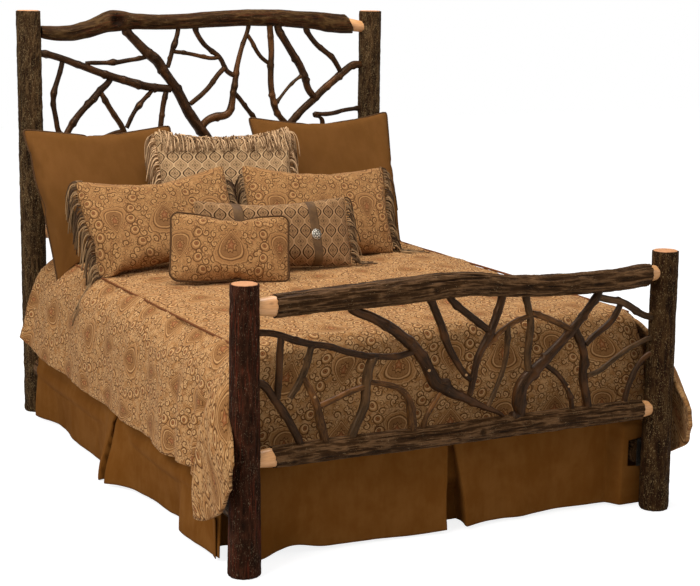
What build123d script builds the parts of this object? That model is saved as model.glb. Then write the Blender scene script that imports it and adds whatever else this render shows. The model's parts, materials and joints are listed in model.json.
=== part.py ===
"""Rustic log bed with its bedding: queen size, millimetres, +Z up.

The origin is on the floor in the middle of the bed. +Y runs from the foot to the head, and +X to
the right of someone who stands at the foot. The bark-on logs and the bent branches are lofts
through round sections. Every member is let into the one that carries it: a rail's peeled tenon
sits in a mortise in the post, and a branch's end sits in a socket in a log or is coped over
another branch.
"""
import os
from collections import namedtuple
from math import cos, pi, radians, sin

from build123d import *

# ---- driving dimensions -------------------------------------------------------------------------
POST_X = 825          # half the distance between post centres, across the bed
POST_Y = 1150         # half the distance between post centres, along the bed
POST_FOOT_D = 110     # every post at the floor
HEAD_POST_H, HEAD_POST_TOP_D = 1755, 103
FOOT_POST_H, FOOT_POST_TOP_D = 965, 94
POST_EDGE = 4         # broken edge at a post's top and foot

MATTRESS_W, MATTRESS_L, MATTRESS_T = 1524, 2032, 260
BOX_SPRING_T = 185
SLAT_T, SLAT_W, SLAT_COUNT = 23, 90, 8
SIDE_RAIL_D = 100
SIDE_RAIL_X, SIDE_RAIL_Z = 800, 205
SIDE_RAIL_FLAT_X = 760                 # planed inner face of a side rail
LEDGER_W, LEDGER_H = 38, 55
LEDGER_TOP = 235
SLAT_TOP = LEDGER_TOP + SLAT_T
BOX_TOP = SLAT_TOP + BOX_SPRING_T
MATTRESS_TOP = BOX_TOP + MATTRESS_T
BED_MIDDLE_Y = 4                       # middle of the mattress along the bed
BED_TOP = 742                          # top of the comforter
PILLOW_REST = BED_TOP + 6              # where the pillows' lower edges stand

SOCKET_SHORT = 12                      # a branch stops this far from a log's axis
BLIND = 813                            # |x| of the blind end of a rail's tenon

Branch = namedtuple("Branch", "starts_on points ends_on sway")

# ---- logs: (x, z, diameter) along each rail -----------------------------------------------------
HEAD_TOP_RAIL = [
    (-BLIND, 1668, 50), (-773, 1667, 52), (-742, 1663, 58), (-715, 1658, 62), (-635, 1660, 69),
    (-554, 1678, 76), (-473, 1706, 84), (-423, 1712, 87), (-346, 1710, 68), (-221, 1706, 66),
    (-93, 1710, 69), (-8, 1717, 72), (181, 1726, 75), (360, 1724, 77), (460, 1716, 78),
    (542, 1712, 80), (598, 1704, 86), (682, 1696, 88), (704, 1694, 85), (711, 1693, 60),
    (776, 1684, 52), (BLIND, 1680, 50),
]
HEAD_LOWER_RAIL = [
    (-BLIND, 800, 52), (-772, 800, 56), (-728, 800, 62), (-725, 800, 74), (-400, 803, 78),
    (0, 799, 76), (400, 802, 77), (725, 800, 74), (728, 800, 62), (772, 800, 56),
    (BLIND, 800, 52),
]
FOOT_TOP_RAIL = [
    (-BLIND, 887, 52), (-771, 887, 56), (-724, 886, 69), (-721, 886, 77), (-650, 889, 78),
    (-532, 893, 82), (-365, 897, 86), (-241, 900, 90), (-113, 907, 90), (16, 905, 82),
    (150, 887, 75), (285, 878, 75), (401, 875, 76), (515, 873, 77), (631, 875, 79),
    (745, 885, 80), (749, 886, 60), (780, 888, 55), (BLIND, 889, 52),
]
FOOT_LOWER_RAIL = [
    (-BLIND, 386, 54), (-771, 386, 57), (-728, 387, 65), (-725, 387, 73), (-500, 389, 75),
    (-200, 386, 74), (100, 388, 76), (400, 387, 75), (650, 387, 75), (738, 386, 73),
    (742, 386, 62), (779, 386, 56), (BLIND, 386, 54),
]

# ---- branches: (x, z, diameter) between the members named ----------------------------------------
HEAD_BRANCHES = {
    "head_main_diagonal": Branch("head_top_rail", [
        (-390, 1673, 36), (-347, 1628, 38), (-285, 1569, 42), (-243, 1537, 47), (-210, 1489, 43),
        (-180, 1449, 42), (-151, 1408, 42), (-121, 1356, 43), (-100, 1315, 44), (-74, 1274, 46),
        (-40, 1229, 47), (-2, 1180, 47), (42, 1090, 46), (80, 980, 45), (104, 880, 45)],
        "head_lower_rail", 0),
    "head_left_strut": Branch("head_post_left", [
        (-750, 1573, 27), (-677, 1550, 29), (-597, 1520, 30), (-517, 1490, 31), (-452, 1469, 33),
        (-370, 1445, 35), (-307, 1425, 35), (-244, 1418, 34), (-196, 1410, 32)],
        "head_main_diagonal", -8),
    "head_right_diagonal": Branch("head_post_right", [
        (736, 1506, 34), (685, 1471, 34), (639, 1434, 33), (587, 1394, 33), (532, 1345, 33),
        (477, 1301, 33), (435, 1260, 33), (395, 1217, 33), (352, 1150, 33), (322, 1060, 33),
        (306, 960, 33), (300, 870, 33)],
        "head_lower_rail", 6),
    "head_right_upright": Branch("head_top_rail", [
        (306, 1684, 28), (311, 1623, 27), (313, 1562, 26), (309, 1501, 27), (309, 1440, 27),
        (316, 1378, 27), (328, 1325, 27), (349, 1279, 27)],
        "head_right_diagonal", -7),
    "head_right_brace": Branch("head_top_rail", [
        (345, 1676, 33), (383, 1619, 33), (425, 1553, 33), (461, 1504, 33), (485, 1449, 32),
        (503, 1395, 31)],
        "head_right_diagonal", -6),
    "head_elbow": Branch("head_top_rail", [
        (202, 1690, 19), (190, 1652, 19), (168, 1604, 20), (150, 1544, 22), (137, 1492, 24),
        (131, 1443, 25), (122, 1395, 26), (115, 1342, 28), (108, 1304, 31), (88, 1284, 34),
        (58, 1283, 34), (31, 1280, 34), (-5, 1264, 34)],
        "head_main_diagonal", -9),
    "head_crossing_twig": Branch("head_top_rail", [
        (-63, 1673, 22), (-38, 1634, 21), (-11, 1602, 21), (19, 1577, 21), (50, 1562, 22),
        (69, 1541, 21), (79, 1509, 21), (98, 1472, 21)],
        "head_elbow", 5),
    "head_left_brace": Branch("head_left_strut", [
        (-458, 1454, 27), (-506, 1412, 28), (-556, 1358, 27), (-601, 1313, 26),
        (-635, 1271, 26), (-664, 1225, 26), (-684, 1175, 26), (-697, 1090, 26), (-700, 980, 26),
        (-698, 880, 26)],
        "head_lower_rail", 7),
    "head_centre_upright": Branch("head_left_strut", [
        (-202, 1397, 24), (-213, 1350, 23), (-220, 1302, 23), (-227, 1243, 23), (-236, 1130, 23),
        (-228, 1000, 23), (-216, 880, 23)],
        "head_lower_rail", 5),
    "head_brown_brace": Branch("head_crossing_twig", [
        (62, 1488, 22), (5, 1415, 22), (-40, 1374, 21), (-80, 1345, 20)],
        "head_main_diagonal", -4),
}
HEAD_TWIGS = {
    "head_twigs_left": [
        Branch("head_left_strut", [
            (-678, 1535, 21), (-691, 1485, 21), (-716, 1416, 22), (-722, 1389, 21),
            (-720, 1335, 21), (-708, 1281, 21), (-706, 1226, 21)],
            "head_left_brace", 4),
        Branch("head_left_brace", [
            (-503, 1396, 23), (-475, 1348, 23), (-443, 1297, 23), (-402, 1240, 24),
            (-388, 1180, 24), (-396, 1060, 23), (-392, 960, 23), (-388, 880, 23)],
            "head_lower_rail", 4),
        Branch("head_left_strut", [
            (-573, 1533, 18), (-492, 1530, 19), (-431, 1531, 19), (-369, 1542, 19),
            (-305, 1549, 19)],
            "head_main_diagonal", 0),
    ],
    "head_twigs_centre": [
        Branch("head_left_strut", [
            (-270, 1401, 19), (-299, 1376, 18), (-325, 1349, 18), (-355, 1310, 18),
            (-372, 1279, 18), (-384, 1245, 18)],
            ("head_twigs_left", 1), 0),
        Branch("head_top_rail", [
            (-139, 1670, 20), (-154, 1626, 19), (-167, 1588, 19), (-179, 1548, 19),
            (-192, 1505, 20)],
            "head_main_diagonal", 3),
        Branch(("head_twigs_centre", 1), [
            (-150, 1573, 17), (-111, 1571, 17), (-60, 1560, 17), (-8, 1548, 17), (40, 1540, 18)],
            "head_crossing_twig", 0),
        Branch(("head_twigs_left", 1), [
            (-414, 1229, 15), (-460, 1222, 15), (-498, 1204, 15), (-560, 1183, 15),
            (-630, 1175, 15)],
            "head_left_brace", 0),
    ],
    "head_twigs_right": [
        Branch("head_elbow", [
            (140, 1382, 21), (168, 1345, 20), (208, 1295, 20), (240, 1255, 20), (280, 1190, 20),
            (306, 1120, 20)],
            "head_right_diagonal", 0),
        Branch("head_elbow", [
            (203, 1640, 18), (226, 1604, 18), (243, 1567, 18), (271, 1539, 18), (290, 1522, 19)],
            "head_right_upright", 0),
        Branch("head_right_brace", [
            (450, 1450, 14), (407, 1414, 14), (375, 1377, 14), (346, 1340, 14)],
            "head_right_upright", 0),
        Branch("head_top_rail", [
            (484, 1672, 24), (515, 1634, 24), (543, 1601, 24), (590, 1568, 24), (627, 1543, 24),
            (647, 1517, 23), (662, 1488, 23)],
            "head_right_diagonal", -5),
        Branch("head_post_right", [
            (744, 1300, 19), (683, 1293, 19), (640, 1281, 19), (588, 1279, 19), (533, 1278, 19),
            (485, 1282, 19)],
            "head_right_diagonal", -4),
        Branch(("head_twigs_right", 4), [
            (585, 1258, 22), (580, 1218, 23), (572, 1120, 23), (582, 1000, 23), (574, 880, 23)],
            "head_lower_rail", 3),
    ],
}
FOOT_BRANCHES = {
    "foot_centre_crook": Branch("foot_top_rail", [
        (-443, 849, 30), (-391, 832, 31), (-343, 807, 33), (-289, 775, 36), (-240, 736, 37),
        (-195, 696, 37), (-165, 654, 38), (-144, 612, 42), (-121, 576, 50), (-77, 548, 46),
        (-26, 520, 32), (26, 492, 27), (84, 463, 19), (136, 441, 14), (165, 426, 12)],
        "foot_lower_rail", 0),
    "foot_long_diagonal": Branch("foot_top_rail", [
        (543, 832, 27), (507, 792, 27), (464, 742, 28), (410, 689, 30), (355, 641, 33),
        (301, 593, 38), (237, 547, 45), (222, 517, 46), (218, 480, 46), (217, 436, 46)],
        "foot_lower_rail", 0),
    "foot_left_strut": Branch("foot_post_left", [
        (-764, 805, 20), (-713, 796, 21), (-668, 775, 22), (-599, 752, 21), (-530, 740, 20),
        (-460, 712, 20), (-389, 692, 20), (-277, 678, 20), (-224, 686, 20)],
        "foot_centre_crook", -6),
    "foot_left_brace": Branch("foot_post_left", [
        (-762, 642, 25), (-730, 596, 26), (-694, 545, 26), (-666, 500, 26), (-638, 449, 26),
        (-624, 424, 26)],
        "foot_lower_rail", 3),
    "foot_left_knee": Branch("foot_left_strut", [
        (-367, 676, 30), (-378, 637, 30), (-383, 603, 30), (-387, 568, 30), (-382, 542, 30),
        (-400, 496, 29), (-428, 446, 29), (-440, 424, 29)],
        "foot_lower_rail", 4),
    "foot_cut_branch": Branch("foot_left_strut", [
        (-591, 737, 21), (-599, 693, 21), (-617, 643, 22), (-648, 596, 21), (-664, 579, 20)],
        None, 5),
    "foot_centre_v": Branch("foot_top_rail", [
        (137, 850, 27), (123, 806, 26), (104, 758, 26), (85, 715, 26), (61, 682, 25),
        (42, 647, 24), (31, 595, 22), (22, 542, 20), (16, 515, 19)],
        "foot_centre_crook", -3),
    "foot_left_v": Branch("foot_top_rail", [
        (-147, 866, 27), (-125, 822, 26), (-103, 776, 26), (-87, 735, 25), (-76, 703, 24),
        (-50, 656, 23), (-23, 614, 22), (8, 574, 19)],
        "foot_centre_v", 4),
    "foot_gnarled_upright": Branch("foot_top_rail", [
        (231, 846, 24), (245, 805, 24), (256, 777, 25), (261, 736, 24), (255, 691, 25),
        (249, 646, 24), (246, 601, 24)],
        "foot_long_diagonal", 4),
    "foot_right_upright": Branch("foot_long_diagonal", [
        (446, 704, 28), (468, 664, 28), (487, 629, 29), (492, 580, 29), (485, 546, 29),
        (493, 501, 29), (506, 455, 29), (511, 424, 29)],
        "foot_lower_rail", 4),
    "foot_right_strut": Branch("foot_long_diagonal", [
        (548, 815, 23), (587, 805, 24), (635, 796, 24), (683, 770, 24), (726, 740, 24),
        (768, 725, 23)],
        "foot_post_right", -5),
}
FOOT_TWIGS = {
    "foot_twigs_left": [
        Branch("foot_left_strut", [
            (-700, 774, 22), (-702, 720, 22), (-704, 652, 22), (-708, 592, 21)],
            "foot_left_brace", 0),
        Branch("foot_cut_branch", [
            (-612, 634, 17), (-589, 590, 20), (-570, 555, 24), (-559, 499, 28),
            (-538, 432, 30)],
            "foot_lower_rail", -3),
        Branch(("foot_twigs_left", 1), [
            (-545, 544, 19), (-505, 555, 19), (-444, 579, 19), (-402, 586, 19)],
            "foot_left_knee", 0),
    ],
    "foot_twigs_centre": [
        Branch("foot_left_knee", [
            (-362, 600, 17), (-295, 584, 18), (-256, 566, 20), (-231, 542, 23), (-218, 510, 27),
            (-215, 478, 30), (-206, 436, 32)],
            "foot_lower_rail", -3),
        Branch("foot_centre_crook", [
            (-106, 528, 16), (-126, 500, 16), (-145, 475, 16), (-168, 432, 17)],
            "foot_lower_rail", 0),
        Branch("foot_top_rail", [
            (-81, 868, 25), (-35, 827, 24), (17, 788, 24), (58, 758, 23), (76, 742, 22)],
            "foot_centre_v", 0),
        Branch("foot_centre_v", [
            (84, 690, 18), (106, 711, 17), (141, 733, 17), (177, 755, 17), (213, 765, 17),
            (240, 772, 17)],
            "foot_gnarled_upright", 0),
        Branch(("foot_twigs_centre", 3), [
            (166, 730, 19), (164, 690, 18), (163, 645, 17), (156, 605, 16), (137, 557, 15),
            (113, 505, 14), (96, 480, 14)],
            "foot_centre_crook", 3),
    ],
    "foot_twigs_right": [
        Branch("foot_gnarled_upright", [
            (275, 779, 21), (313, 763, 21), (362, 743, 21), (406, 721, 21)],
            "foot_long_diagonal", 0),
        Branch("foot_right_strut", [
            (630, 776, 20), (618, 748, 22), (592, 717, 22), (547, 691, 21), (513, 670, 20),
            (500, 655, 20)],
            "foot_right_upright", 0),
        Branch("foot_right_upright", [
            (508, 536, 17), (560, 548, 17), (611, 583, 17), (668, 617, 17), (725, 636, 17),
            (764, 649, 17)],
            "foot_post_right", -3),
        Branch("foot_post_right", [
            (768, 591, 19), (742, 570, 19), (713, 533, 19), (692, 490, 19), (677, 447, 20),
            (670, 424, 20)],
            "foot_lower_rail", 3),
        Branch("foot_long_diagonal", [
            (330, 587, 16), (370, 562, 16), (405, 525, 16), (427, 488, 16), (440, 455, 16),
            (446, 424, 16)],
            "foot_lower_rail", 2),
    ],
}

# ---- pillows: base centre (x, y), yaw, lean, width, height, thickness ----------------------------
Pillow = namedtuple("Pillow", "x y yaw lean width height thick")
PILLOWS = {
    "euro_pillow_left": Pillow(-572, 745, 2, 25, 660, 565, 150),
    "euro_pillow_right": Pillow(478, 750, -2, 24, 690, 588, 150),
    "fringed_square_pillow": Pillow(-102, 592, -4, 21, 610, 545, 120),
    "sham_left": Pillow(-508, 352, -5, 27, 635, 398, 130),
    "sham_right": Pillow(220, 378, -4, 27, 650, 395, 130),
    "lumbar_pillow": Pillow(-104, 150, -1, 19, 672, 288, 110),
    "boudoir_pillow": Pillow(-384, -15, -18, 25, 466, 262, 100),
}
STRAP_W, STRAP_T = 38, 3
STRAP_X = (-135, 148)                  # along the lumbar pillow, from its middle
CONCHO_D, CONCHO_T = 46, 6


# ---- logs and branches ---------------------------------------------------------------------------
def sections(path):
    """Round faces square to a path of (point, diameter), with their seams in line."""
    faces = []
    for i, (point, diameter) in enumerate(path):
        before = path[max(i - 1, 0)][0]
        after = path[min(i + 1, len(path) - 1)][0]
        along = after - before
        side = Vector(0, 1, 0) if abs(along.normalized().Y) < 0.9 else Vector(1, 0, 0)
        plane = Plane(origin=point, x_dir=side - along * (side.dot(along) / along.dot(along)),
                      z_dir=along)
        faces.append(plane * Circle(diameter / 2))
    return faces


def log(path):
    """A solid log or branch along a path of (point, diameter)."""
    return loft(sections(path), ruled=True).solid()


def rail_path(points, y):
    return [(Vector(x, y, z), diameter) for x, z, diameter in points]


def post_path(height, top_diameter, x, y):
    belly = POST_FOOT_D - 0.45 * (POST_FOOT_D - top_diameter)
    return [
        (Vector(x, y, 0), POST_FOOT_D - 2 * POST_EDGE),
        (Vector(x, y, POST_EDGE), POST_FOOT_D),
        (Vector(x, y, 0.45 * height), belly),
        (Vector(x, y, height - POST_EDGE), top_diameter),
        (Vector(x, y, height), top_diameter - 2 * POST_EDGE),
    ]


def nearest_on(path, point):
    """The point of a path's centre line nearest to a given point."""
    best = None
    for (a, _), (b, _) in zip(path, path[1:]):
        run = b - a
        share = max(0.0, min(1.0, (point - a).dot(run) / run.dot(run)))
        foot = a + run * share
        if best is None or (point - foot).length < (point - best).length:
            best = foot
    return best


def seat(path, end, carrier, is_log):
    """Add the point where a branch ends inside its carrier, at its first (0) or last (-1) point."""
    point, diameter = path[end]
    target = nearest_on(carrier, point)
    gap = target - point
    if is_log:
        target = point + gap * ((gap.length - SOCKET_SHORT) / gap.length)
    if end == 0:
        path.insert(0, (target, diameter))
    else:
        path.append((target, diameter))


class Frame:
    """The logs and branches built so far: centre lines, plain solids and finished solids."""

    def __init__(self):
        self.paths = {}
        self.solids = {}
        self.logs = set()
        self.cuts = {}

    def add_log(self, name, path):
        self.paths[name] = path
        self.solids[name] = log(path)
        self.logs.add(name)
        self.cuts[name] = []

    def add_branch(self, name, branch, y):
        count = len(branch.points)
        path = []
        for i, (x, z, diameter) in enumerate(branch.points):
            bow = branch.sway * sin(pi * (i + 0.5) / count)
            path.append((Vector(x, y + bow, z), diameter))
        for end, carrier in ((0, branch.starts_on), (-1, branch.ends_on)):
            if carrier:
                seat(path, end, self.paths[carrier], carrier in self.logs)
        self.paths[name] = path
        self.solids[name] = log(path)
        self.cuts[name] = [c for c in (branch.starts_on, branch.ends_on)
                           if c and c not in self.logs]
        for carrier in (branch.starts_on, branch.ends_on):
            if carrier in self.logs:
                self.cuts[carrier].append(name)

    def finished(self, name):
        """A member with its mortises, sockets or copes cut."""
        shape = self.solids[name]
        for other in self.cuts[name]:
            shape = shape - self.solids[other]
        pieces = shape.solids()
        return max(pieces, key=lambda piece: piece.volume)


def build_frame():
    frame = Frame()
    posts = {
        "head_post_left": (HEAD_POST_H, HEAD_POST_TOP_D, -POST_X, POST_Y),
        "head_post_right": (HEAD_POST_H, HEAD_POST_TOP_D, POST_X, POST_Y),
        "foot_post_left": (FOOT_POST_H, FOOT_POST_TOP_D, -POST_X, -POST_Y),
        "foot_post_right": (FOOT_POST_H, FOOT_POST_TOP_D, POST_X, -POST_Y),
    }
    for name, size in posts.items():
        frame.add_log(name, post_path(*size))
    rails = {
        "head_top_rail": (HEAD_TOP_RAIL, POST_Y),
        "head_lower_rail": (HEAD_LOWER_RAIL, POST_Y),
        "foot_top_rail": (FOOT_TOP_RAIL, -POST_Y),
        "foot_lower_rail": (FOOT_LOWER_RAIL, -POST_Y),
    }
    for name, (points, y) in rails.items():
        frame.add_log(name, rail_path(points, y))
        end = name.split("_")[0]
        frame.cuts[end + "_post_left"].append(name)
        frame.cuts[end + "_post_right"].append(name)
    for branches, twigs, y in ((HEAD_BRANCHES, HEAD_TWIGS, POST_Y),
                               (FOOT_BRANCHES, FOOT_TWIGS, -POST_Y)):
        for name, branch in branches.items():
            frame.add_branch(name, branch, y)
        for group, members in twigs.items():
            for number, branch in enumerate(members):
                frame.add_branch((group, number), branch, y)
    return frame


# ---- side rails, slats and hardware --------------------------------------------------------------
PLATE_T, PLATE_W, PLATE_H = 4, 46, 104       # plate let into a post
PLATE_Y = POST_Y - 48                        # face of the flat that the plate lies on
PLATE_CENTRE_X = 800
HOOK_T, HOOK_H, HOOK_IN = 5, 26, 14          # a hook through the plate, and its reach
HOOK_TONGUE, TONGUE_H = 62, 92               # the hook plate's tongue in the rail's kerf
RAIL_GAP = 4                                 # between a rail's end and the post's plate
SLOT_PLAY = 0.5                              # play of a hook in its slot
HOOK_Z = (-24, 24)
SCREW_D, SCREW_HEAD_D, SCREW_HEAD_T, SCREW_L = 5, 9, 2.4, 34
SCREW_PLACES = [(x, z) for z in (44, -44) for x in (-14, 14)]


def block(low, high):
    """A box between two corners."""
    size = [b - a for a, b in zip(low, high)]
    middle = [(a + b) / 2 for a, b in zip(low, high)]
    return Pos(*middle) * Box(*size)


def hook_plate():
    """Steel tongue in a rail's end, with two hooks that reach through the post plate.

    Local frame: the post plate's outer face is y = 0, and the post is at +Y."""
    plate = block((-HOOK_T / 2, -RAIL_GAP - HOOK_TONGUE, -TONGUE_H / 2),
                  (HOOK_T / 2, -RAIL_GAP + 3, TONGUE_H / 2))
    for z in HOOK_Z:
        plate += block((-HOOK_T / 2, -RAIL_GAP, z - 2), (HOOK_T / 2, HOOK_IN, z + HOOK_H / 2))
        plate += block((-HOOK_T / 2, PLATE_T + SLOT_PLAY, z - HOOK_H / 2),
                       (HOOK_T / 2, HOOK_IN, z + HOOK_H / 2))
    return plate.solid()


def post_plate():
    """Slotted steel plate, from y = 0 to its thickness, with two slots and two screw holes."""
    plate = block((-PLATE_W / 2, 0, -PLATE_H / 2), (PLATE_W / 2, PLATE_T, PLATE_H / 2))
    for z in HOOK_Z:
        plate -= block((-HOOK_T / 2 - SLOT_PLAY, -1, z - HOOK_H / 2 - SLOT_PLAY),
                       (HOOK_T / 2 + SLOT_PLAY, PLATE_T + 1, z + HOOK_H / 2 + SLOT_PLAY))
    for x, z in SCREW_PLACES:
        plate -= Pos(x, PLATE_T / 2, z) * Rot(90, 0, 0) * Cylinder(SCREW_D / 2, 3 * PLATE_T)
    return plate.solid()


def plate_screws():
    """Four wood screws of one post plate."""
    screws = []
    for x, z in SCREW_PLACES:
        at = Pos(x, 0, z) * Rot(-90, 0, 0)
        shank = at * Cylinder(SCREW_D / 2, SCREW_L, align=(Align.CENTER, Align.CENTER, Align.MIN))
        head = at * Cylinder(SCREW_HEAD_D / 2, SCREW_HEAD_T,
                             align=(Align.CENTER, Align.CENTER, Align.MAX))
        screws.append((shank + head).solid())
    return screws


def at_corner(shape, side, end):
    """Place a piece made for the head post at +X at one of the four corners."""
    placed = Pos(PLATE_CENTRE_X, PLATE_Y - PLATE_T, SIDE_RAIL_Z) * shape
    if end < 0:
        placed = placed.mirror(Plane.XZ)
    if side < 0:
        placed = placed.mirror(Plane.YZ)
    return placed


CORNERS = [(side, end) for side in (-1, 1) for end in (-1, 1)]


def side_rail(side):
    """Bark-on side rail, planed flat inside, with a kerf at each end for the hook plate."""
    half = PLATE_Y - PLATE_T - RAIL_GAP
    path = [(Vector(side * SIDE_RAIL_X, y, SIDE_RAIL_Z), d)
            for y, d in ((-half, 96), (-0.5 * half, SIDE_RAIL_D), (0.5 * half, 98), (half, 96))]
    rail = log(path)
    inner = block((-SIDE_RAIL_FLAT_X, -half - 1, 0), (SIDE_RAIL_FLAT_X, half + 1, 500))
    rail = rail - inner
    for end in (-1, 1):
        rail = rail - at_corner(hook_plate(), side, end)
    return max(rail.solids(), key=lambda piece: piece.volume)


def slat_ledgers():
    low = LEDGER_TOP - LEDGER_H
    return [block((min(side * SIDE_RAIL_FLAT_X, side * (SIDE_RAIL_FLAT_X - LEDGER_W)), -1000, low),
                  (max(side * SIDE_RAIL_FLAT_X, side * (SIDE_RAIL_FLAT_X - LEDGER_W)), 1000,
                   LEDGER_TOP)) for side in (-1, 1)]


def bed_slats():
    step = (MATTRESS_L - 300) / (SLAT_COUNT - 1)
    first = BED_MIDDLE_Y - (MATTRESS_L - 300) / 2
    return [block((-755, first + i * step - SLAT_W / 2, LEDGER_TOP),
                  (755, first + i * step + SLAT_W / 2, SLAT_TOP)) for i in range(SLAT_COUNT)]


CENTRE_BEAM_W, CENTRE_BEAM_H = 60, 45
CENTRE_LEG_D, CENTRE_LEG_Y = 48, (-720, 0, 720)


def centre_beam():
    return block((-CENTRE_BEAM_W / 2, -960, LEDGER_TOP - CENTRE_BEAM_H),
                 (CENTRE_BEAM_W / 2, 960, LEDGER_TOP))


def centre_legs():
    height = LEDGER_TOP - CENTRE_BEAM_H
    leg = Cylinder(CENTRE_LEG_D / 2, height, align=(Align.CENTER, Align.CENTER, Align.MIN))
    return [(Pos(0, y, 0) * leg).solid() for y in CENTRE_LEG_Y]


# ---- bedding -------------------------------------------------------------------------------------
def upholstered_block(width, length, low, height, corner, edge):
    body = Pos(0, BED_MIDDLE_Y, low + height / 2) * Box(width, length, height)
    body = fillet(body.edges().filter_by(Axis.Z), corner)
    rims = body.faces().sort_by(Axis.Z)[0].edges() + body.faces().sort_by(Axis.Z)[-1].edges()
    return fillet(rims, edge).solid()


# The comforter's outer line at stations along the bed: hem x, hem z, and the swell at half height.
COMFORTER_STATIONS = [
    (945, 952, 375, 16), (820, 932, 345, 8), (560, 912, 318, 4), (150, 900, 303, 0),
    (-320, 897, 292, 0), (-700, 900, 280, 2), (-930, 906, 215, 4), (-1036, 907, 190, 4),
]
COMFORTER_T = 24
DROP_FOOT_Y, DROP_FOOT_HEM = -1066, 372


def comforter_section(y, hem_x, hem_z, swell):
    """Closed line of the comforter across the bed: left hem, over the top, right hem."""
    outer = [(hem_x, hem_z), (hem_x - 8 + swell, (hem_z + 600) / 2), (876 + swell / 2, 600),
             (830, 676), (772, 720), (600, BED_TOP - 6), (200, BED_TOP)]
    inner = [(hem_x - COMFORTER_T, hem_z), (hem_x - 8 + swell - COMFORTER_T, (hem_z + 600) / 2),
             (852 + swell / 2, 592), (810, 662), (756, MATTRESS_TOP + 1), (600, MATTRESS_TOP + 1),
             (200, MATTRESS_TOP + 1)]
    line = [(-x, z) for x, z in outer] + outer[::-1] + inner + [(-x, z) for x, z in inner[::-1]]
    return Face(Wire.make_polygon([Vector(x, y, z) for x, z in line], close=True))


def corner_wing(side):
    """Corner of the comforter that hangs outside a foot post."""
    quads = []
    for y, low, high, inner in ((-1020, 200, 640, 882), (-1090, 152, 600, 882),
                                (-1204, 250, 470, 884)):
        corners = [(inner, low), (inner, high), (inner + COMFORTER_T, high),
                   (inner + COMFORTER_T, low)]
        quads.append(Face(Wire.make_polygon([Vector(side * x, y, z) for x, z in corners],
                                            close=True)))
    return loft(quads, ruled=True)


def comforter():
    shell = loft([comforter_section(*station) for station in COMFORTER_STATIONS], ruled=True)
    foot = block((-800, DROP_FOOT_Y, DROP_FOOT_HEM), (800, DROP_FOOT_Y + COMFORTER_T, 690))
    foot += block((-800, DROP_FOOT_Y, 689), (800, -1030, 712))
    shape = shell + foot + corner_wing(-1) + corner_wing(1)
    return shape.solid()


WELT_D = 8
WELT_X, WELT_Z = 775, 723              # seam along each side of the comforter's top
WELT_HEAD_Y, WELT_FOOT_Y = 940, -1043


def comforter_welt():
    """Corded seam round three sides of the comforter's top."""
    foot_end = WELT_FOOT_Y - WELT_D
    cord = log([(Vector(-WELT_X, WELT_FOOT_Y, WELT_Z), WELT_D),
                (Vector(WELT_X, WELT_FOOT_Y, WELT_Z), WELT_D)])
    for side in (-1, 1):
        cord += log([(Vector(side * WELT_X, WELT_HEAD_Y, WELT_Z), WELT_D),
                     (Vector(side * WELT_X, foot_end, WELT_Z), WELT_D)])
    return cord.solid()


SKIRT_T = 5
SKIRT_TOP = BOX_TOP - 3
SKIRT_HEM = 5


def curtain(lines):
    """Thin hanging panel through closed lines, each (z, [(x, y), ...], offset in x, in y)."""
    faces = []
    for z, line, dx, dy in lines:
        back = [(x + dx, y + dy) for x, y in reversed(line)]
        faces.append(Face(Wire.make_polygon([Vector(x, y, z) for x, y in line + back],
                                            close=True)))
    return loft(faces, ruled=True).solid()


def side_skirt(side):
    """Side panel of the skirt: hangs from the box spring's top edge over the side rail."""
    stations = [1020, 760, 500, 300, 270, 240, 0, -260, -520, -780, -1020]
    swing = [4, -6, 5, 0, -52, 0, 6, -5, 4, -6, 8]
    lines = []
    for z, base, share in ((SKIRT_TOP, 770, 0.0), (262, 862, 0.0), (160, 866, 0.1),
                           (110, 868, 0.7), (SKIRT_HEM, 872, 1.0)):
        line = [(side * (base + share * s), y) for s, y in zip(swing, stations)]
        lines.append((z, line, side * SKIRT_T, 0))
    return curtain(lines)


def foot_skirt():
    """Foot panel of the skirt, with an inverted pleat a little right of the middle."""
    stations = [-742, -600, -400, -180, -10, 30, 70, 240, 420, 600, 742]
    swing = [-14, 8, -4, 6, 0, 50, 0, -5, 5, -4, -14]
    lines = []
    for z, base, share in ((SKIRT_TOP, -1022, 0.0), (262, -1040, 0.5), (SKIRT_HEM, -1048, 1.0)):
        line = [(x, base + share * s) for s, x in zip(swing, stations)]
        lines.append((z, line, 0, -SKIRT_T))
    return curtain(lines)


# A pillow's crown: (share of the thickness from the middle, share of the outline).
CROWN = ((-0.5, 0.60), (-0.44, 0.78), (-0.30, 0.91), (-0.05, 1.0), (0.05, 1.0), (0.30, 0.91),
         (0.44, 0.78), (0.5, 0.60))


def pillow_shape(pillow, grow=0):
    """Crowned pillow that stands on its lower edge at the local origin, front face to -Y."""
    faces = []
    for across, share in CROWN:
        outline = RectangleRounded((pillow.width + grow) * share, (pillow.height + grow) * share,
                                   0.09 * pillow.height * share)
        faces.append(Plane.XZ.offset(-across * (pillow.thick + grow)) * outline)
    return Pos(0, 0, pillow.height / 2) * loft(faces, ruled=True)


def placed(shape, pillow):
    return Pos(pillow.x, pillow.y, PILLOW_REST) * Rot(0, 0, pillow.yaw) * Rot(
        -pillow.lean, 0, 0) * shape


def lumbar_straps():
    """Two straps round the lumbar pillow."""
    pillow = PILLOWS["lumbar_pillow"]
    sleeve = pillow_shape(pillow, 2 * STRAP_T) - pillow_shape(pillow)
    straps = []
    for x in STRAP_X:
        band = block((x - STRAP_W / 2, -200, -20), (x + STRAP_W / 2, 200, pillow.height + 20))
        straps.append(placed(sleeve & band, pillow).solid())
    return straps


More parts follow.
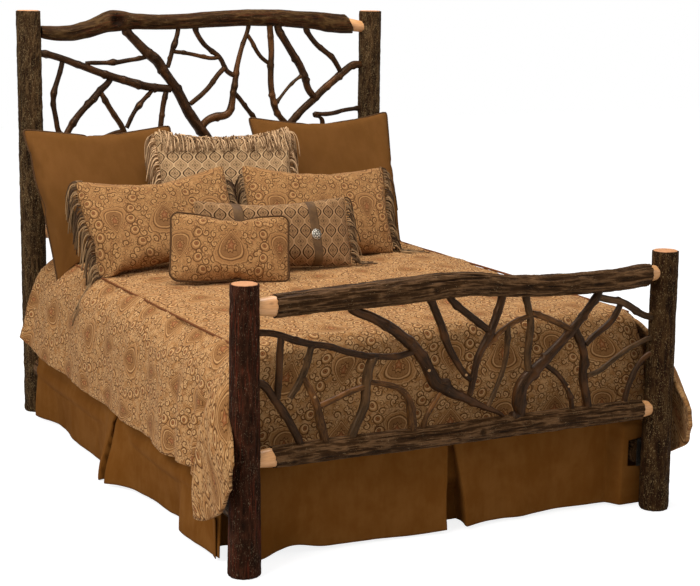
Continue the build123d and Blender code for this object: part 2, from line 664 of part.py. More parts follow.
def concho():
    """Domed metal button on the right strap's front face."""
    pillow = PILLOWS["lumbar_pillow"]
    face = -(pillow.thick / 2 + STRAP_T)
    disc = Cylinder(CONCHO_D / 2, CONCHO_T, align=(Align.CENTER, Align.CENTER, Align.MIN))
    disc = chamfer(disc.faces().sort_by(Axis.Z)[-1].edges(), 2.5)
    return placed(Pos(STRAP_X[1], face, pillow.height / 2) * Rot(90, 0, 0) * disc, pillow).solid()


# ---- all nodes -----------------------------------------------------------------------------------
def build():
    frame = build_frame()
    nodes = {}
    for name in frame.paths:
        if isinstance(name, str):
            nodes[name] = frame.finished(name)
    for twigs in (HEAD_TWIGS, FOOT_TWIGS):
        for group, members in twigs.items():
            nodes[group] = [frame.finished((group, i)) for i in range(len(members))]

    nodes["side_rail_left"] = side_rail(-1)
    nodes["side_rail_right"] = side_rail(1)
    nodes["rail_hooks"] = [at_corner(hook_plate(), *c).solid() for c in CORNERS]
    nodes["post_plates"] = [at_corner(post_plate(), *c).solid() for c in CORNERS]
    screws = [at_corner(screw, *c).solid() for c in CORNERS for screw in plate_screws()]
    nodes["plate_screws"] = screws
    for side, end in CORNERS:
        name = ("head" if end > 0 else "foot") + "_post_" + ("right" if side > 0 else "left")
        pocket = at_corner(block((-PLATE_W / 2, 0, -PLATE_H / 2),
                                 (PLATE_W / 2, PLATE_T, PLATE_H / 2)), side, end)
        opened = at_corner(block((-PLATE_W / 2, -60, -PLATE_H / 2),
                                 (PLATE_W / 2, 0, PLATE_H / 2)), side, end)
        mouths = at_corner(block((-HOOK_T, PLATE_T, -45), (HOOK_T, HOOK_IN + 4, 45)), side, end)
        post = nodes[name] - pocket - opened - mouths
        for number, screw in enumerate(plate_screws()):
            post = post - at_corner(screw, side, end)
        nodes[name] = max(post.solids(), key=lambda piece: piece.volume)

    nodes["slat_ledgers"] = slat_ledgers()
    nodes["bed_slats"] = bed_slats()
    nodes["centre_beam"] = centre_beam()
    nodes["centre_legs"] = centre_legs()

    nodes["box_spring"] = upholstered_block(MATTRESS_W, MATTRESS_L, SLAT_TOP, BOX_SPRING_T, 50, 10)
    nodes["mattress"] = upholstered_block(MATTRESS_W, MATTRESS_L, BOX_TOP, MATTRESS_T, 70, 28)
    nodes["comforter"] = comforter()
    nodes["comforter_welt"] = comforter_welt()
    nodes["skirt_left"] = side_skirt(-1)
    nodes["skirt_right"] = side_skirt(1)
    nodes["skirt_foot"] = foot_skirt()
    for name, pillow in PILLOWS.items():
        nodes[name] = placed(pillow_shape(pillow), pillow).solid()
    nodes["lumbar_straps"] = lumbar_straps()
    nodes["strap_concho"] = concho()
    return nodes


def main():
    os.makedirs("parts", exist_ok=True)
    for name, shape in build().items():
        solid = Compound(children=shape) if isinstance(shape, list) else shape
        export_step(solid, "parts/" + name + ".step")


main()
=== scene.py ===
"""Looks of a rustic log bed: bark, bent branches and bedding, modelled round the CAD frame.

Metres, +Z up. The origin is on the floor in the middle of the bed, +Y runs from the foot to the
head, and +X is to the right of someone who stands at the foot.
"""
import itertools
import json
import math
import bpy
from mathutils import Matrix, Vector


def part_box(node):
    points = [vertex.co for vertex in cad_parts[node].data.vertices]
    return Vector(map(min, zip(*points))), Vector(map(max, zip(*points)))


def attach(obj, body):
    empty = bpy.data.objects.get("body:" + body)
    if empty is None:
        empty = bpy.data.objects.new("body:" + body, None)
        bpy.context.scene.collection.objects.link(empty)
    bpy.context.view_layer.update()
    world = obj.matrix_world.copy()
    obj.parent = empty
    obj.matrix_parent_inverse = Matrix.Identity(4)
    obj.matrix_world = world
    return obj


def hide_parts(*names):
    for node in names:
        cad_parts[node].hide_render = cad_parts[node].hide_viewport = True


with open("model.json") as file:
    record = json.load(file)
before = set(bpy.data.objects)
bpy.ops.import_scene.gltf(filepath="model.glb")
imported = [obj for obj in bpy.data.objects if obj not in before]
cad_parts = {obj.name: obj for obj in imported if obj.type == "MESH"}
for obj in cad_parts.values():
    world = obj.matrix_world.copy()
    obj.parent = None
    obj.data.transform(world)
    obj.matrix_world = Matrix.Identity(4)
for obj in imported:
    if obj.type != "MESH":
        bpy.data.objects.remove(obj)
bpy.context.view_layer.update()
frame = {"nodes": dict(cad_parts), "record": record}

import zlib

import bmesh
import bpy
import numpy as np
from mathutils import Matrix, Vector
from mathutils.bvhtree import BVHTree

UP = np.array([0.0, 0.0, 1.0])
BODY = "root"

# ---- smooth noise --------------------------------------------------------------------------------
PRIMES = np.array([73856093, 19349663, 83492791], dtype=np.int64)
WORD = 0xFFFFFFFF


def hashed(cells, seed):
    """A number from -1 to 1 for each whole-number cell."""
    mixed = ((cells * PRIMES).sum(axis=-1) + seed * 7919) & WORD
    mixed = ((mixed ^ (mixed >> 15)) * 0x2C1B3C6D) & WORD
    mixed = ((mixed ^ (mixed >> 12)) * 0x297A2D39) & WORD
    return (mixed ^ (mixed >> 15)) / (WORD / 2) - 1.0


def noise(points, seed):
    """Smooth noise from -1 to 1 at each point, with features of size 1."""
    cell = np.floor(points).astype(np.int64)
    part = points - cell
    part = part * part * (3 - 2 * part)
    total = np.zeros(points.shape[:-1])
    for corner in itertools.product((0, 1), repeat=3):
        weight = np.prod(np.where(corner, part, 1 - part), axis=-1)
        total += weight * hashed(cell + np.array(corner), seed)
    return total


def rough(points, seed):
    """Noise with a finer octave added, about -1 to 1."""
    return (noise(points, seed) + noise(points * 2, seed + 1) / 2) / 1.5


def seed_of(name):
    return zlib.crc32(name.encode()) % 100000


def smoothstep(low, high, x):
    t = np.clip((x - low) / (high - low), 0, 1)
    return t * t * (3 - 2 * t)


def bell(away):
    """1 in the middle of a lump, falling smoothly to 0 past its half width of 1."""
    return np.exp(-away ** 2)


# ---- meshes --------------------------------------------------------------------------------------
def xyz(x, y, z):
    """Points from coordinates that are numbers, rows of them or whole grids."""
    return np.stack(np.broadcast_arrays(x, y, z), axis=-1)


def grid_faces(rows, columns, closed=False):
    """Quads between the rows of a grid of points; a closed row joins its last point to its first."""
    across = columns if closed else columns - 1
    i, j = np.meshgrid(np.arange(rows - 1), np.arange(across), indexing="ij")
    k = (j + 1) % columns
    corners = (i * columns + j, i * columns + k, (i + 1) * columns + k, (i + 1) * columns + j)
    return np.stack(corners, axis=-1).reshape(-1, 4)


VECTOR_VALUES = ("bark", "flat")


class Build:
    """Points, faces, material numbers and point attributes of one piece, gathered bit by bit."""

    def __init__(self):
        self.points, self.faces, self.slots, self.values = [], [], [], {}
        self.count = 0

    def add(self, points, faces, slot=0, **values):
        points = np.asarray(points, float).reshape(-1, 3)
        self.points.append(points)
        self.faces += (np.asarray(faces) + self.count).tolist()
        self.slots += [slot] * len(faces)
        for name, value in values.items():
            self.values.setdefault(name, []).append((self.count, np.asarray(value, float)))
        self.count += len(points)

    def sheet(self, points, turned=False, **values):
        """A sheet through rows of points; turned, its faces look the other way."""
        faces = grid_faces(*points.shape[:2])
        self.add(points, faces[:, ::-1] if turned else faces, **values)

    def rings(self, rings, slot=0, caps=(False, False), **values):
        """A tube through rings of points, with or without a face over its first and last ring."""
        rings = np.asarray(rings, float)
        rows, around = rings.shape[:2]
        first, last = self.count, self.count + (rows - 1) * around
        self.add(rings, grid_faces(rows, around, closed=True), slot, **values)
        ends = (range(first + around - 1, first - 1, -1), range(last, last + around))
        for ring in itertools.compress(ends, caps):
            self.faces.append(list(ring))
            self.slots.append(slot)

    def piece(self, name, materials, slot_name, replaced):
        """The finished object, which rides on the bed in place of the nodes it replaces."""
        mesh = bpy.data.meshes.new(name)
        mesh.from_pydata(np.concatenate(self.points).tolist(), [], self.faces)
        for value_name, parts in self.values.items():
            size = 3 if value_name in VECTOR_VALUES else 1
            whole = np.zeros((self.count, size))
            for start, value in parts:
                value = value.reshape(-1, size)
                whole[start:start + len(value)] = value
            kind, field = ("FLOAT_VECTOR", "vector") if size == 3 else ("FLOAT", "value")
            attribute = mesh.attributes.new(value_name, kind, "POINT")
            attribute.data.foreach_set(field, whole.ravel())
        for material in materials:
            mesh.materials.append(material)
        mesh.polygons.foreach_set("material_index", self.slots)
        smooth_shading(mesh)
        obj = bpy.data.objects.new(name, mesh)
        bpy.context.scene.collection.objects.link(obj)
        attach(obj, BODY)
        if replaced:
            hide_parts(*replaced)
        return obj


def smooth_shading(mesh):
    mesh.polygons.foreach_set("use_smooth", [True] * len(mesh.polygons))
    mesh.update()


def unit(vectors):
    return vectors / np.maximum(np.linalg.norm(vectors, axis=-1, keepdims=True), 1e-12)


def arc_length(line):
    steps = np.linalg.norm(np.diff(line, axis=0), axis=1)
    return np.concatenate([[0], np.cumsum(steps)])


def curve_through(points, count):
    """Evenly spaced points on a smooth curve through a few points of any dimension."""
    points = np.asarray(points, float)
    padded = np.vstack([2 * points[0] - points[1], points, 2 * points[-1] - points[-2]])
    fine = []
    for a, b, c, d in zip(padded, padded[1:], padded[2:], padded[3:]):
        t = np.linspace(0, 1, 24, endpoint=False)[:, None]
        fine.append(0.5 * (2 * b + (c - a) * t + (2 * a - 5 * b + 4 * c - d) * t ** 2
                           + (3 * b - a - 3 * c + d) * t ** 3))
    fine = np.vstack(fine + [points[-1:]])
    length = arc_length(fine)
    even = np.linspace(0, length[-1], count)
    return np.stack([np.interp(even, length, column) for column in fine.T], axis=1)


def stations_between(low, high, step):
    return np.linspace(low, high, max(2, int(round(abs(high - low) / step)) + 1))


def tube_axes(centres):
    """Along, side and third axis at each centre; the side axis stays near +Y, or near +X."""
    along = unit(np.gradient(centres, axis=0))
    side = np.array([0.0, 1.0, 0.0]) if abs(along[:, 1]).max() < 0.8 else np.array([1.0, 0, 0])
    side = unit(side - (along @ side)[:, None] * along)
    return along, side, np.cross(along, side)


def ring_directions(side, third, around):
    angle = np.linspace(0, math.tau, around, endpoint=False)[None, :, None]
    return np.cos(angle) * side[:, None] + np.sin(angle) * third[:, None]


def add_tube(build, centres, radius, around=8, slot=0):
    """A plain round tube with closed ends."""
    _, side, third = tube_axes(centres)
    build.rings(centres[:, None] + radius * ring_directions(side, third, around), slot,
                caps=(True, True))


# ---- materials -----------------------------------------------------------------------------------
def colour(code):
    """Linear colour from a six-digit code as written for screens."""
    parts = [int(code[i:i + 2], 16) / 255 for i in (0, 2, 4)]
    linear = [p / 12.92 if p <= 0.04045 else ((p + 0.055) / 1.055) ** 2.4 for p in parts]
    return (*linear, 1.0)


class Value:
    """An output of a node; a formula with it adds the Math nodes that the formula needs."""

    def __init__(self, graph, socket):
        self.graph, self.socket = graph, socket

    def beside(self, output):
        """Another output of the same node."""
        return Value(self.graph, self.socket.node.outputs[output])

    def __add__(self, other):
        return self.graph.math("ADD", self, other)

    def __sub__(self, other):
        return self.graph.math("SUBTRACT", self, other)

    def __rsub__(self, other):
        return self.graph.math("SUBTRACT", other, self)

    def __mul__(self, other):
        return self.graph.math("MULTIPLY", self, other)

    def __truediv__(self, other):
        return self.graph.math("DIVIDE", self, other)

    def __abs__(self):
        return self.graph.math("ABSOLUTE", self)


class Graph:
    """A material whose nodes are added by short calls that return values."""

    def __init__(self, name, **constants):
        self.material = bpy.data.materials.new(name)
        self.material.use_nodes = True
        self.tree = self.material.node_tree
        self.shader = self.tree.nodes["Principled BSDF"]
        for socket, value in constants.items():
            self.put(self.shader.inputs[socket.replace("_", " ")], value)

    def put(self, socket, value):
        if isinstance(value, Value):
            self.tree.links.new(value.socket, socket)
        else:
            socket.default_value = value

    def add(self, kind, inputs, output=0, **settings):
        node = self.tree.nodes.new("ShaderNode" + kind)
        for name, value in settings.items():
            setattr(node, name, value)
        for name, value in inputs.items():
            self.put(node.inputs[name], value)
        return Value(self, node.outputs[output])

    def attribute(self, name, output="Vector"):
        return self.add("Attribute", {}, output, attribute_name=name)

    def position(self):
        return self.add("NewGeometry", {}, "Position")

    def scaled(self, vector, factors):
        return self.add("VectorMath", {0: vector, 1: factors}, operation="MULTIPLY")

    def shifted(self, vector, offset):
        return self.add("VectorMath", {0: vector, 1: offset}, operation="ADD")

    def parts(self, vector):
        x = self.add("SeparateXYZ", {0: vector})
        return x, x.beside(1), x.beside(2)

    def math(self, operation, a, b=0.0):
        return self.add("Math", {0: a, 1: b}, operation=operation)

    def larger(self, a, b):
        return self.math("MAXIMUM", a, b)

    def noise(self, vector, scale, detail=2, roughness=0.5, distortion=0.0, output=0):
        """Noise of one scale, or of one for each axis."""
        if isinstance(scale, tuple):
            vector, scale = self.scaled(vector, scale), 1.0
        return self.add("TexNoise", {"Vector": vector, "Scale": scale, "Detail": detail,
                                     "Roughness": roughness, "Distortion": distortion}, output)

    def cells(self, vector, scale):
        return self.add("TexVoronoi", {"Vector": vector, "Scale": scale}, "Distance")

    def span(self, value, low, high, to_low=0.0, to_high=1.0):
        """The value's place between low and high, eased, as a number between two others."""
        return self.add("MapRange", {0: value, 1: low, 2: high, 3: to_low, 4: to_high},
                        interpolation_type="SMOOTHSTEP")

    def mix(self, share, a, b, blend="MIX"):
        """The share of b over a; each of them is a value, a colour or a colour's code."""
        a, b = (colour(c) if isinstance(c, str) else c for c in (a, b))
        return self.add("Mix", {0: share, 6: a, 7: b}, 2, data_type="RGBA", blend_type=blend)

    def length(self, a, b):
        return self.math("SQRT", a * a + b * b)

    def band(self, value, middle, half_width, soft):
        """1 where the value is near the middle, falling to 0."""
        return self.span(abs(value - middle), half_width, half_width + soft, 1.0, 0.0)

    def finish(self, base, roughness, height, depth, strength):
        """The material; without a roughness of its own it keeps the one it was made with."""
        self.put(self.shader.inputs["Base Color"], base)
        if roughness is not None:
            self.put(self.shader.inputs["Roughness"], roughness)
        bump = self.add("Bump", {"Height": height, "Distance": depth, "Strength": strength})
        self.put(self.shader.inputs["Normal"], bump)
        return self.material


WARM_GLOSS = (0.9, 0.62, 0.42, 1.0)         # bark reflects its own warm brown


def bark_material(name, deep, middle, ridge, fleck, fleck_share, red, red_share, roughness=0.75,
                  run=34.0):
    """Furrowed bark: dark furrows, paler ridges, scattered flecks and thin reddish streaks."""
    g = Graph(name, Specular_IOR_Level=0.10, Specular_Tint=WARM_GLOSS)
    place = g.attribute("bark")
    streak = g.noise(place, (260, 260, run), 5, 0.65)
    height = g.attribute("relief", "Fac") * 0.75 + streak * 0.5
    base = g.mix(g.span(height, 0.22, 0.62), deep, middle)
    # Ridges take the paler ridge colour: partly the bark's own weathered grey, partly painted
    # highlight of glossy ridges.
    base = g.mix(g.span(height, 0.6, 0.95), base, ridge)
    patch = g.noise(place, (22, 22, 5), 3)
    thread = g.noise(place, (230, 230, 11), 4, 0.6)
    red_at = g.span(thread, 0.60 - red_share, 0.70 - red_share) * g.span(patch, 0.38, 0.58)
    base = g.mix(red_at * min(0.9, red_share * 5), base, red)
    speck = g.noise(place, (330, 330, 150), 3, 0.7)
    zone = g.noise(g.shifted(place, (3, 5, 7)), (30, 30, 14))
    edge = 0.74 - fleck_share - zone * 0.22
    base = g.mix(g.span(speck - edge, 0.02, 0.1) * 0.8, base, fleck)
    shade = g.span(g.noise(place, (9, 9, 3.5)), 0.3, 0.7, 0.80, 1.15)
    base = g.mix(1.0, base, g.add("CombineXYZ", {0: shade, 1: shade, 2: shade}), "MULTIPLY")
    roughly = g.span(streak, 0.3, 0.7, roughness + 0.12, roughness - 0.12)
    return g.finish(base, roughly, height + speck * 0.35, 0.0022, 0.9)


def twig_material(name, deep, middle, light, warm):
    """Smooth bark of the branches, with lenticels, warmer patches, and paler bark where it is raised
    on nodes and knots.
    """
    g = Graph(name, Specular_IOR_Level=0.26, Specular_Tint=WARM_GLOSS)
    place = g.attribute("bark")
    streak = g.noise(place, (300, 300, 40), 5, 0.6)
    patch = g.noise(place, (34, 34, 11), 4, 0.6)
    base = g.mix(g.span(streak, 0.32, 0.66), deep, middle)
    base = g.mix(g.span(patch, 0.46, 0.66) * 0.8, base, warm)
    # Paler where the bark is raised, on the swollen sides of nodes and round knots.
    raised_bark = g.attribute("relief", "Fac") * 0.5 + streak * 0.8
    base = g.mix(g.span(raised_bark, 0.90, 1.15, 0.0, 0.8), base, light)
    speck = g.noise(place, (420, 420, 260))
    base = g.mix(g.span(speck, 0.7, 0.76), base, light)
    gloss = g.span(patch, 0.35, 0.65, 0.50, 0.34)
    return g.finish(base, gloss, streak * 0.6 + speck * 0.4, 0.0008, 0.7)


def peeled_material(name, light, dark):
    """Peeled sapwood: pale, with faint long grain; brown round knotholes, with nearly black middles
    that are painted shade of the holes.
    """
    g = Graph(name, Specular_IOR_Level=0.4, Coat_Weight=0.2, Coat_Roughness=0.35)
    place = g.attribute("bark")
    grain = g.noise(place, (420, 420, 22), 4, 0.6)
    patch = g.noise(place, (40, 40, 25))
    base = g.mix(g.span(grain, 0.35, 0.75), light, dark)
    base = g.mix(g.span(patch, 0.45, 0.7) * 0.35, base, dark)
    knot_and_hole_shade = g.attribute("relief", "Fac")
    base = g.mix(g.span(knot_and_hole_shade, 0.75, 0.35, 0.0, 0.85), base, "6A3A1C")
    # Nearly black in the middle: painted shade of a knothole that has no depth of its own.
    base = g.mix(g.span(knot_and_hole_shade, 0.30, 0.15, 0.0, 0.9), base, "1E0F06")
    return g.finish(base, 0.42, grain, 0.0006, 0.4)


def end_grain_material(name, light, dark):
    """Sawn end of a log: wavy growth rings round the pith, and a little mottle."""
    g = Graph(name, Specular_IOR_Level=0.35)
    place = g.attribute("bark")
    wobble = g.noise(place, 30.0, output=1)
    x, y, _ = g.parts(g.shifted(place, g.scaled(wobble, (0.004, 0.004, 0.0))))
    ring = g.math("SINE", g.length(x, y) * 1900.0)
    base = g.mix(g.span(ring, -0.6, 1.0, 0.0, 0.55), light, dark)
    base = g.mix(g.span(g.noise(place, (60, 60, 60), 4), 0.45, 0.75, 0.0, 0.6), base, dark)
    return g.finish(base, 0.6, ring, 0.0004, 0.4)


def suede_material(name, dark, light):
    """Brushed faux suede: soft clouds where the nap lies both ways, and a fine tooth."""
    g = Graph(name, Roughness=0.95, Specular_IOR_Level=0.03, Sheen_Weight=0.04,
              Sheen_Roughness=0.5, Sheen_Tint=colour("C89A62"))
    flat = g.attribute("flat")
    cloud = g.noise(flat, 7.0, 4, 0.6, 0.4)
    brushed = g.noise(flat, (34, 11, 34), 3, 0.6)
    tooth = g.noise(flat, 900.0, 2, 0.6)
    base = g.mix(g.span(cloud * 0.65 + brushed * 0.35, 0.36, 0.66), dark, light)
    base = g.mix(g.span(tooth, 0.3, 0.8, 0.0, 0.25), base, light)
    return g.finish(base, None, tooth + brushed * 1.5, 0.0004, 0.5)


def weave_height(g, flat, threads=850.0):
    """Height of a fine woven surface, threads per metre."""
    x, y, _ = g.parts(g.scaled(flat, (threads, threads, 1.0)))
    return g.math("SINE", x * math.pi) * g.math("SINE", y * math.pi)


COLUMN, HALF_DROP = 0.200, 0.228           # spacing of the paisley's columns and motifs
RINGS_PER_DROP = 5
RING_PITCH, RING_R = HALF_DROP / RINGS_PER_DROP, 0.0178
CHAIN_SWING = 0.036


def cloth_graph(name):
    return Graph(name, Roughness=0.9, Specular_IOR_Level=0.04, Sheen_Weight=0.03,
                 Sheen_Roughness=0.5)


def add_scrolls(g, base, flat, scale, reach, share, line, pale):
    """Small one-turn scrolls scattered over a cloth: a dark line and a pale one inside it."""
    spot = g.add("TexVoronoi", {"Vector": flat, "Scale": scale, "Randomness": 0.8}, "Position",
                 voronoi_dimensions="2D")
    x, y, _ = g.parts(g.add("VectorMath", {0: flat, 1: spot}, operation="SUBTRACT"))
    start, flip, _ = g.parts(spot.beside("Color"))
    y = y * g.math("SIGN", flip - 0.5)
    turn = g.math("FRACT", g.math("ARCTAN2", y, x) / math.tau + start + 1.0)
    level = g.length(x, y) - (turn * 0.66 + 0.34) * reach
    dark = g.band(level, 0.0, 0.10 * reach, 0.09 * reach) * share
    light = g.band(level, -0.32 * reach, 0.09 * reach, 0.10 * reach) * share
    return g.mix(dark, g.mix(light, base, pale), line), dark


def paisley_material(name, ground, pale, line, rust):
    """Woven paisley: columns of pointed drops and hanging vases, and wavy chains of rings between.

    Neighbouring columns are half a repeat apart, so a drop stands beside a vase."""
    g = cloth_graph(name)
    flat = g.attribute("flat")
    wobble = g.noise(flat, 16.0, 1, output=1)
    bent = g.shifted(flat, g.scaled(g.shifted(wobble, (-0.5, -0.5, -0.5)), (0.014, 0.014, 0)))
    x, y, _ = g.parts(bent)
    column = g.math("ROUND", x / COLUMN)
    dx = x - column * COLUMN
    run = y + column * HALF_DROP

    def along(shift):
        """Distance up the column from the nearest repeat of a motif."""
        return g.math("MODULO", run + (shift + 41 * HALF_DROP), 2 * HALF_DROP) - HALF_DROP

    def drop(dy, half_w, half_h, up, taper):
        """Nested outlines of a pointed drop: 0 in its middle and 1 on its edge."""
        high = dy * (up / half_h)
        return g.length(dx / half_w / g.larger(1.0 - high * taper, 0.10), high)

    def lobed(level, turn, lobes, depth):
        """The outlines drawn in to as many lobes."""
        return level + abs(g.math("SINE", turn * (lobes / 2))) * depth

    def line_at(value, middle, width, share, code, under):
        at = g.band(value, middle, width, width) * share
        return g.mix(at, under, code), at

    stipple = g.noise(flat, 430.0, 3, 0.75)
    base = g.mix(g.span(g.noise(flat, 38.0, 3), 0.35, 0.65, 0.0, 0.6), ground, pale)
    blush = g.span(g.noise(g.shifted(flat, (0.4, 0.9, 0)), 21.0), 0.60, 0.70, 0.0, 0.25)
    base = g.mix(blush, base, rust)
    vein = g.noise(g.shifted(bent, (0.7, 0.2, 0)), 50.0, 1, 0.4, 1.4)
    base, veins = line_at(vein, 0.5, 0.016, 0.45, line, base)
    base, small = add_scrolls(g, base, g.shifted(bent, (0.31, 0.17, 0)), 47.0, 0.0090, 0.60,
                              line, pale)
    base, large = add_scrolls(g, base, bent, 27.0, 0.0145, 0.78, line, pale)
    raised = g.larger(g.larger(small, large), veins)

    taken = None
    for dy, half_w, half_h, up, taper in ((along(0.0), 0.042, 0.053, 1.0, 0.74),
                                          (along(HALF_DROP), 0.031, 0.048, -1.0, 0.70)):
        level = drop(dy, half_w, half_h, up, taper)
        turn = g.math("ARCTAN2", dx, dy)
        base = g.mix(g.span(level, 1.30, 1.36, 1.0, 0.0) * 0.80, base, ground)
        base = g.mix(g.band(level, 0.66, 0.13, 0.04) * 0.32, base, line)
        scallop = lobed(level, turn, 19.0, 0.05)
        base, halo = line_at(scallop, 1.36, 0.018, 0.60, line, base)
        base, _ = line_at(scallop, 1.28, 0.018, 0.45, pale, base)
        base, outline = line_at(level, 1.02, 0.026, 0.75, line, base)
        base, _ = line_at(level, 0.93, 0.022, 0.6, pale, base)
        base, inner = line_at(level, 0.84, 0.016, 0.6, line, base)
        base, ring = line_at(lobed(level, turn, 11.0, 0.12), 0.56, 0.030, 0.8, line, base)
        petal = lobed(level, turn, 5.0, 0.16)
        base = g.mix(g.span(petal, 0.34, 0.40, 0.62, 0.0), base, rust)
        base, heart = line_at(petal, 0.38, 0.028, 0.7, line, base)
        base = g.mix(g.span(petal, 0.11, 0.17, 0.7, 0.0), base, pale)
        for mark in (outline, halo, inner, ring, heart):
            raised = g.larger(raised, mark)
        near = g.span(level, 1.25, 1.40, 1.0, 0.0)
        taken = near if taken is None else g.larger(taken, near)

    free = 1.0 - taken
    row = g.math("ROUND", run / RING_PITCH) * RING_PITCH
    lane = g.math("COSINE", row * (math.pi / HALF_DROP)) * CHAIN_SWING + COLUMN / 2
    off_x, off_y = abs(dx) - lane, run - row
    away = g.length(off_x, off_y)
    inner = g.length(off_x - 0.0026, off_y - 0.0030)
    disc = g.span(away, RING_R, RING_R + 0.001, 1.0, 0.0) * free
    base = g.mix(disc * 0.85, base, ground)
    for value, middle, width, share, code in ((inner, 0.0108, 0.0022, 0.85, pale),
                                              (away, RING_R, 0.0015, 0.80, line),
                                              (inner, 0.0072, 0.0008, 0.70, line),
                                              (inner, 0.0000, 0.0056, 0.50, rust),
                                              (inner, 0.0000, 0.0020, 0.80, line)):
        mark = g.band(value, middle, width, 0.0010) * (disc if value is inner else free) * share
        base = g.mix(mark, base, code)
        raised = g.larger(raised, mark)

    base = g.mix(g.span(stipple, 0.42, 0.75, 0.0, 0.5), base, line)
    height = raised * 0.7 + (stipple + weave_height(g, flat)) * 0.35
    return g.finish(base, None, height, 0.0009, 0.7)


LATTICE_W, LATTICE_H = 0.060, 0.078
OGEE = 0.34                                # how far the lattice's outlines bend in to a point


def lattice_material(name, ground, pale, line):
    """Woven lattice of ogees, each with a small four-lobed flower."""
    g = cloth_graph(name)
    flat = g.attribute("flat")
    x, y, _ = g.parts(flat)
    across = g.math("PINGPONG", x * (math.tau / LATTICE_W), math.pi)
    down = g.math("PINGPONG", y * (math.tau / LATTICE_H), math.pi)
    level = across + down - g.math("SINE", down * 2.0) * OGEE
    own = g.math("LESS_THAN", level, math.pi)
    far = 1.0 - own

    def folded(value):
        """The distance from the middle of the ogee that a place lies in."""
        return abs(value - far * math.pi)

    edge = g.math("MINIMUM", level, math.tau - level) / math.pi
    spot_x, spot_y = folded(across), folded(down)
    turn = g.math("ARCTAN2", spot_y, spot_x) * 4.0
    flower = g.length(spot_x, spot_y) / math.pi / (g.math("COSINE", turn) * 0.30 + 1.0)
    outline = g.band(edge, 0.79, 0.075, 0.035) * (own * 0.75 + 0.25)
    marks = ((outline, 0.95), (g.band(edge, 0.62, 0.010, 0.020), 0.40),
             (g.band(flower, 0.33, 0.025, 0.025), 0.80),
             (g.span(flower, 0.10, 0.14, 1.0, 0.0), 0.8),
             (g.band(flower, 0.21, 0.010, 0.020), 0.45))
    stipple = g.noise(flat, 560.0, 3, 0.75)
    base = g.mix(g.span(stipple, 0.35, 0.70, 0.0, 0.9), ground, pale)
    base = g.mix(g.span(edge, 0.88, 0.96, 0.0, 0.7), base, pale)
    for mask, share in marks:
        base = g.mix(mask * share, base, line)
    base = g.mix(g.span(stipple, 0.45, 0.75, 0.0, 0.35), base, line)
    height = (stipple + weave_height(g, flat)) * 0.5 - outline
    return g.finish(base, None, height, 0.0006, 0.6)


def cord_material(name, dark, light):
    """Covered cord or tape."""
    g = Graph(name, Roughness=0.85, Specular_IOR_Level=0.2)
    fibre = g.noise(g.position(), 300.0, 3, 0.6)
    base = g.mix(g.span(fibre, 0.3, 0.7), dark, light)
    return g.finish(base, None, fibre, 0.0004, 0.5)


def yarn_material(name, dark, light):
    """Twisted strips of a fringe, each with its own tone."""
    g = Graph(name, Roughness=0.85, Specular_IOR_Level=0.1)
    fibre = g.noise(g.position(), 220.0, 3, 0.6)
    tone = g.attribute("tone", "Fac") + fibre * 0.25
    return g.finish(g.mix(g.span(tone, 0.05, 1.15), dark, light), None, fibre, 0.0005, 0.5)


def ticking_material():
    """Mattress ticking: pale cloth with faint stripes."""
    g = Graph("ticking", Roughness=0.85, Specular_IOR_Level=0.2)
    flat = g.attribute("flat")
    x, _, _ = g.parts(flat)
    mottle = g.noise(flat, 60.0, 3)
    base = g.mix(g.span(mottle, 0.3, 0.7), "D8D0BE", "E6E0D2")
    base = g.mix(g.span(g.math("SINE", x * 260.0), 0.7, 0.9, 0.0, 0.35), base, "A89C84")
    return g.finish(base, None, mottle + weave_height(g, flat, 500.0), 0.0005, 0.5)


def pine_material():
    """Planed softwood, with its grain along the board."""
    g = Graph("planed_pine", Roughness=0.6, Specular_IOR_Level=0.25)
    grain = g.noise(g.position(), (9, 60, 60), 4, 0.6, 0.6)
    return g.finish(g.mix(g.span(grain, 0.3, 0.7), "D6B07A", "B98A52"), None, grain, 0.0004, 0.4)


def zinc_material():
    """Zinc-plated steel: dull grey with a faint spangle."""
    g = Graph("zinc_plate", Metallic=0.9)
    spangle = g.cells(g.position(), 160.0)
    base = g.mix(g.span(spangle, 0.1, 0.7), "4E4A44", "625D56")
    return g.finish(base, g.span(spangle, 0.1, 0.7, 0.38, 0.52), spangle, 0.0001, 0.2)


def leather_material():
    """Brown strap leather with a fine cellular grain."""
    g = Graph("strap_leather", Roughness=0.62, Specular_IOR_Level=0.3)
    place = g.position()
    grain = g.cells(place, 700.0)
    base = g.mix(g.span(g.noise(place, 30.0, 3), 0.35, 0.65), "4A3018", "634626")
    base = g.mix(g.span(grain, 0.2, 0.6, 0.0, 0.3), base, "7A5A34")
    return g.finish(base, None, grain, 0.0005, 0.4)


def silver_material():
    """Cast metal: polished petals and rim over dark recesses."""
    g = Graph("concho_silver", Metallic=0.8)
    x, y, _ = g.parts(g.attribute("flat"))
    away = g.length(x, y)
    petal = abs(g.math("COSINE", g.math("ARCTAN2", y, x) * 4.0))
    petals = g.band(away, 0.58, 0.17, 0.06) * g.span(petal, 0.25, 0.55)
    raised = g.larger(g.larger(petals, g.span(away, 0.88, 0.94)),
                      g.span(away, 0.20, 0.26, 1.0, 0.0))
    base = g.mix(raised, "2B241C", "E4DCCB")
    return g.finish(base, g.span(raised, 0.0, 1.0, 0.6, 0.3), raised, 0.0006, 0.6)


